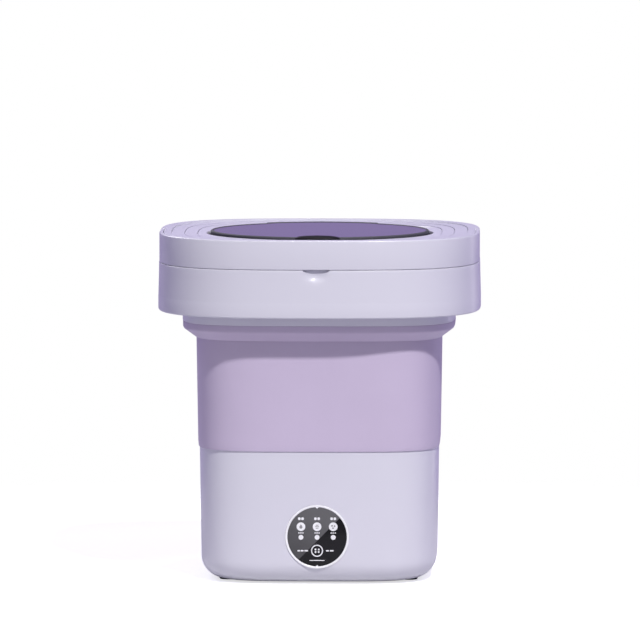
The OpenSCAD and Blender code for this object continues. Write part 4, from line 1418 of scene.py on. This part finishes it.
class WASHER_OT_stage(bpy.types.Operator):
    """Build the floor, the studio light and the camera"""

    bl_idname = "washer.stage"
    bl_label = "Stage"

    def execute(self, context):
        scene = context.scene
        scene.view_settings.view_transform = "Standard"
        self.floor()
        self.world(scene)
        self.lamp("key", (0.82, -2.32, 2.65), (0.0, 0.0, 0.2), 0.16, 0.16, 95, (1.0, 0.99, 0.98))
        self.lamp("side_strip", (1.35, 1.95, 0.4), (0.1, 0.0, 0.25), 0.1, 1.6, 1.8, (1.0, 0.98, 1.0))
        self.lamp("back_fill", (-1.3, 1.9, 1.7), (0.0, 0.0, 0.2), 1.4, 1.0, 20, (0.97, 0.96, 1.0))
        self.basket_lamp()
        camera = bpy.data.cameras.new("camera")
        holder = bpy.data.objects.new("camera", camera)
        scene.collection.objects.link(holder)
        camera.sensor_width = 36
        camera.lens = 517
        camera.clip_end = 50
        aim = Vector((0, 0, 0.221))
        azimuth, elevation, away = math.radians(1.4), math.radians(4.6), 8.0
        back = Vector((math.sin(azimuth) * math.cos(elevation), -math.cos(azimuth) * math.cos(elevation),
                       math.sin(elevation)))
        holder.location = aim + back * away
        holder.rotation_mode = "QUATERNION"
        holder.rotation_quaternion = back.to_track_quat("Z", "Y")
        scene.camera = holder
        return {"FINISHED"}

    def floor(self):
        """Pale disc that fades out towards its edge."""
        material = bpy.data.materials.new("studio_floor")
        material.use_nodes = True
        sheet = Sheet(material.node_tree)
        spot = sheet.node("ShaderNodeTexCoord", output="Object")
        away = sheet.node("ShaderNodeVectorMath", {"operation": "LENGTH"}, {0: spot}, output="Value")
        cloud = sheet.noise(3, 2, 0.5)
        base = sheet.mix(cloud * 0.4, hue("floor"), shaded(hue("floor"), 1.02))
        matt = sheet.node("ShaderNodeBsdfDiffuse", None, {"Color": base})
        seen = sheet.node("ShaderNodeLightPath", output="Is Camera Ray")
        glow = sheet.node("ShaderNodeEmission", None, {"Color": base, "Strength": seen * 0.85})
        matt = sheet.node("ShaderNodeAddShader", None, {0: matt, 1: glow})
        clear = sheet.node("ShaderNodeBsdfTransparent")
        both = sheet.node("ShaderNodeMixShader", None, {0: away.eased(0.35, 0.85), 1: matt, 2: clear})
        sheet.node("ShaderNodeOutputMaterial", None, {"Surface": both})
        disc = form("studio_floor", lathe([(0, 0), (1000, 0), (1000, -1), (0, -1)], 96), material)

    def world(self, scene):
        """White for the camera; for light and gloss, pale in front and above, purple behind and beside."""
        world = bpy.data.worlds.new("studio")
        scene.world = world
        world.use_nodes = True
        sheet = Sheet(world.node_tree)
        spot = sheet.node("ShaderNodeTexCoord", output="Generated")
        parts = sheet.node("ShaderNodeSeparateXYZ", None, {0: spot}).socket.node
        x, y, z = (Wire(sheet, parts.outputs[k]) for k in "XYZ")
        frontal = (0.30 - y * 0.85 + z * 0.3 - x * 0.18).eased(0.0, 1.0)
        behind = (y - z * z * 2.5).eased(0.55, 0.95)
        rear = sheet.mix(behind, (0.50, 0.39, 0.95, 1), (0.92, 0.71, 1.46, 1))
        tone = sheet.mix(frontal, rear, (0.85, 0.82, 0.99, 1))
        studio = sheet.node("ShaderNodeBackground", None, {"Color": tone, "Strength": 0.39})
        plain = sheet.node("ShaderNodeBackground", None, {"Color": (1, 1, 1, 1), "Strength": 1.0})
        seen = sheet.node("ShaderNodeLightPath", output="Is Camera Ray")
        both = sheet.node("ShaderNodeMixShader", None, {0: seen, 1: studio, 2: plain})
        sheet.node("ShaderNodeOutputWorld", None, {"Surface": both})

    def basket_lamp(self):
        """Narrow lamp straight above that lights the basket through the mouth."""
        height, mouth = 3.4, 0.088
        data = bpy.data.lights.new("basket_lamp", "SPOT")
        data.energy = 330
        data.spot_size = 2 * math.atan(mouth / (height - 0.3))
        data.spot_blend = 0.35
        data.shadow_soft_size = 0.12
        lamp = bpy.data.objects.new("basket_lamp", data)
        lamp.location = (0, 0, height)
        bpy.context.scene.collection.objects.link(lamp)

    def lamp(self, name, spot, aim, wide, tall, power, tint):
        """Rectangular soft light turned to a point."""
        data = bpy.data.lights.new(name, "AREA")
        data.shape = "RECTANGLE"
        data.size = wide
        data.size_y = tall
        data.energy = power
        data.color = tint
        lamp = bpy.data.objects.new(name, data)
        bpy.context.scene.collection.objects.link(lamp)
        lamp.location = spot
        away = Vector(spot) - Vector(aim)
        lamp.rotation_mode = "QUATERNION"
        lamp.rotation_quaternion = away.to_track_quat("Z", "Y")


GROUPS = {
    "rim": RimSizes,
    "tub": TubSizes,
    "lid": LidSizes,
    "basket": BasketSizes,
    "panel": PanelSizes,
    "colours": WasherColours,
}
OPERATORS = (
    WASHER_OT_stage,
    WASHER_OT_frame_finishes,
    WASHER_OT_base,
    WASHER_OT_folding_wall,
    WASHER_OT_rim_skirt,
    WASHER_OT_top_cover,
    WASHER_OT_handle,
    WASHER_OT_lid,
    WASHER_OT_hose_port,
    WASHER_OT_basket,
    WASHER_OT_pulsator,
    WASHER_OT_feet_and_screws,
    WASHER_OT_control_panel,
    WASHER_OT_rear_ports,
)


class WASHER_PT_panel(bpy.types.Panel):
    """The washer's pieces in the sidebar"""

    bl_idname = "WASHER_PT_panel"
    bl_label = "Folding washer"
    bl_space_type = "VIEW_3D"
    bl_region_type = "UI"
    bl_category = "Washer"

    def draw(self, context):
        for operator in OPERATORS:
            self.layout.operator(operator.bl_idname)
        for part, group in GROUPS.items():
            box = self.layout.box()
            box.label(text=group.__doc__)
            values = getattr(context.scene, "washer_" + part)
            for prop in values.bl_rna.properties:
                if prop.identifier not in ("name", "rna_type"):
                    box.prop(values, prop.identifier)


def register():
    """Registers the classes and hangs the property groups on the scene."""
    for part, group in GROUPS.items():
        bpy.utils.register_class(group)
        setattr(bpy.types.Scene, "washer_" + part, bpy.props.PointerProperty(type=group))
    for operator in OPERATORS:
        bpy.utils.register_class(operator)
    bpy.utils.register_class(WASHER_PT_panel)


def unregister():
    """Takes the classes and property groups away again."""
    bpy.utils.unregister_class(WASHER_PT_panel)
    for operator in reversed(OPERATORS):
        bpy.utils.unregister_class(operator)
    for part, group in reversed(GROUPS.items()):
        delattr(bpy.types.Scene, "washer_" + part)
        bpy.utils.unregister_class(group)


def main():
    """Registers the classes and builds every piece."""
    register()
    for operator in OPERATORS:
        group, name = operator.bl_idname.split(".")
        getattr(getattr(bpy.ops, group), name)()


if __name__ == "__main__":
    main()
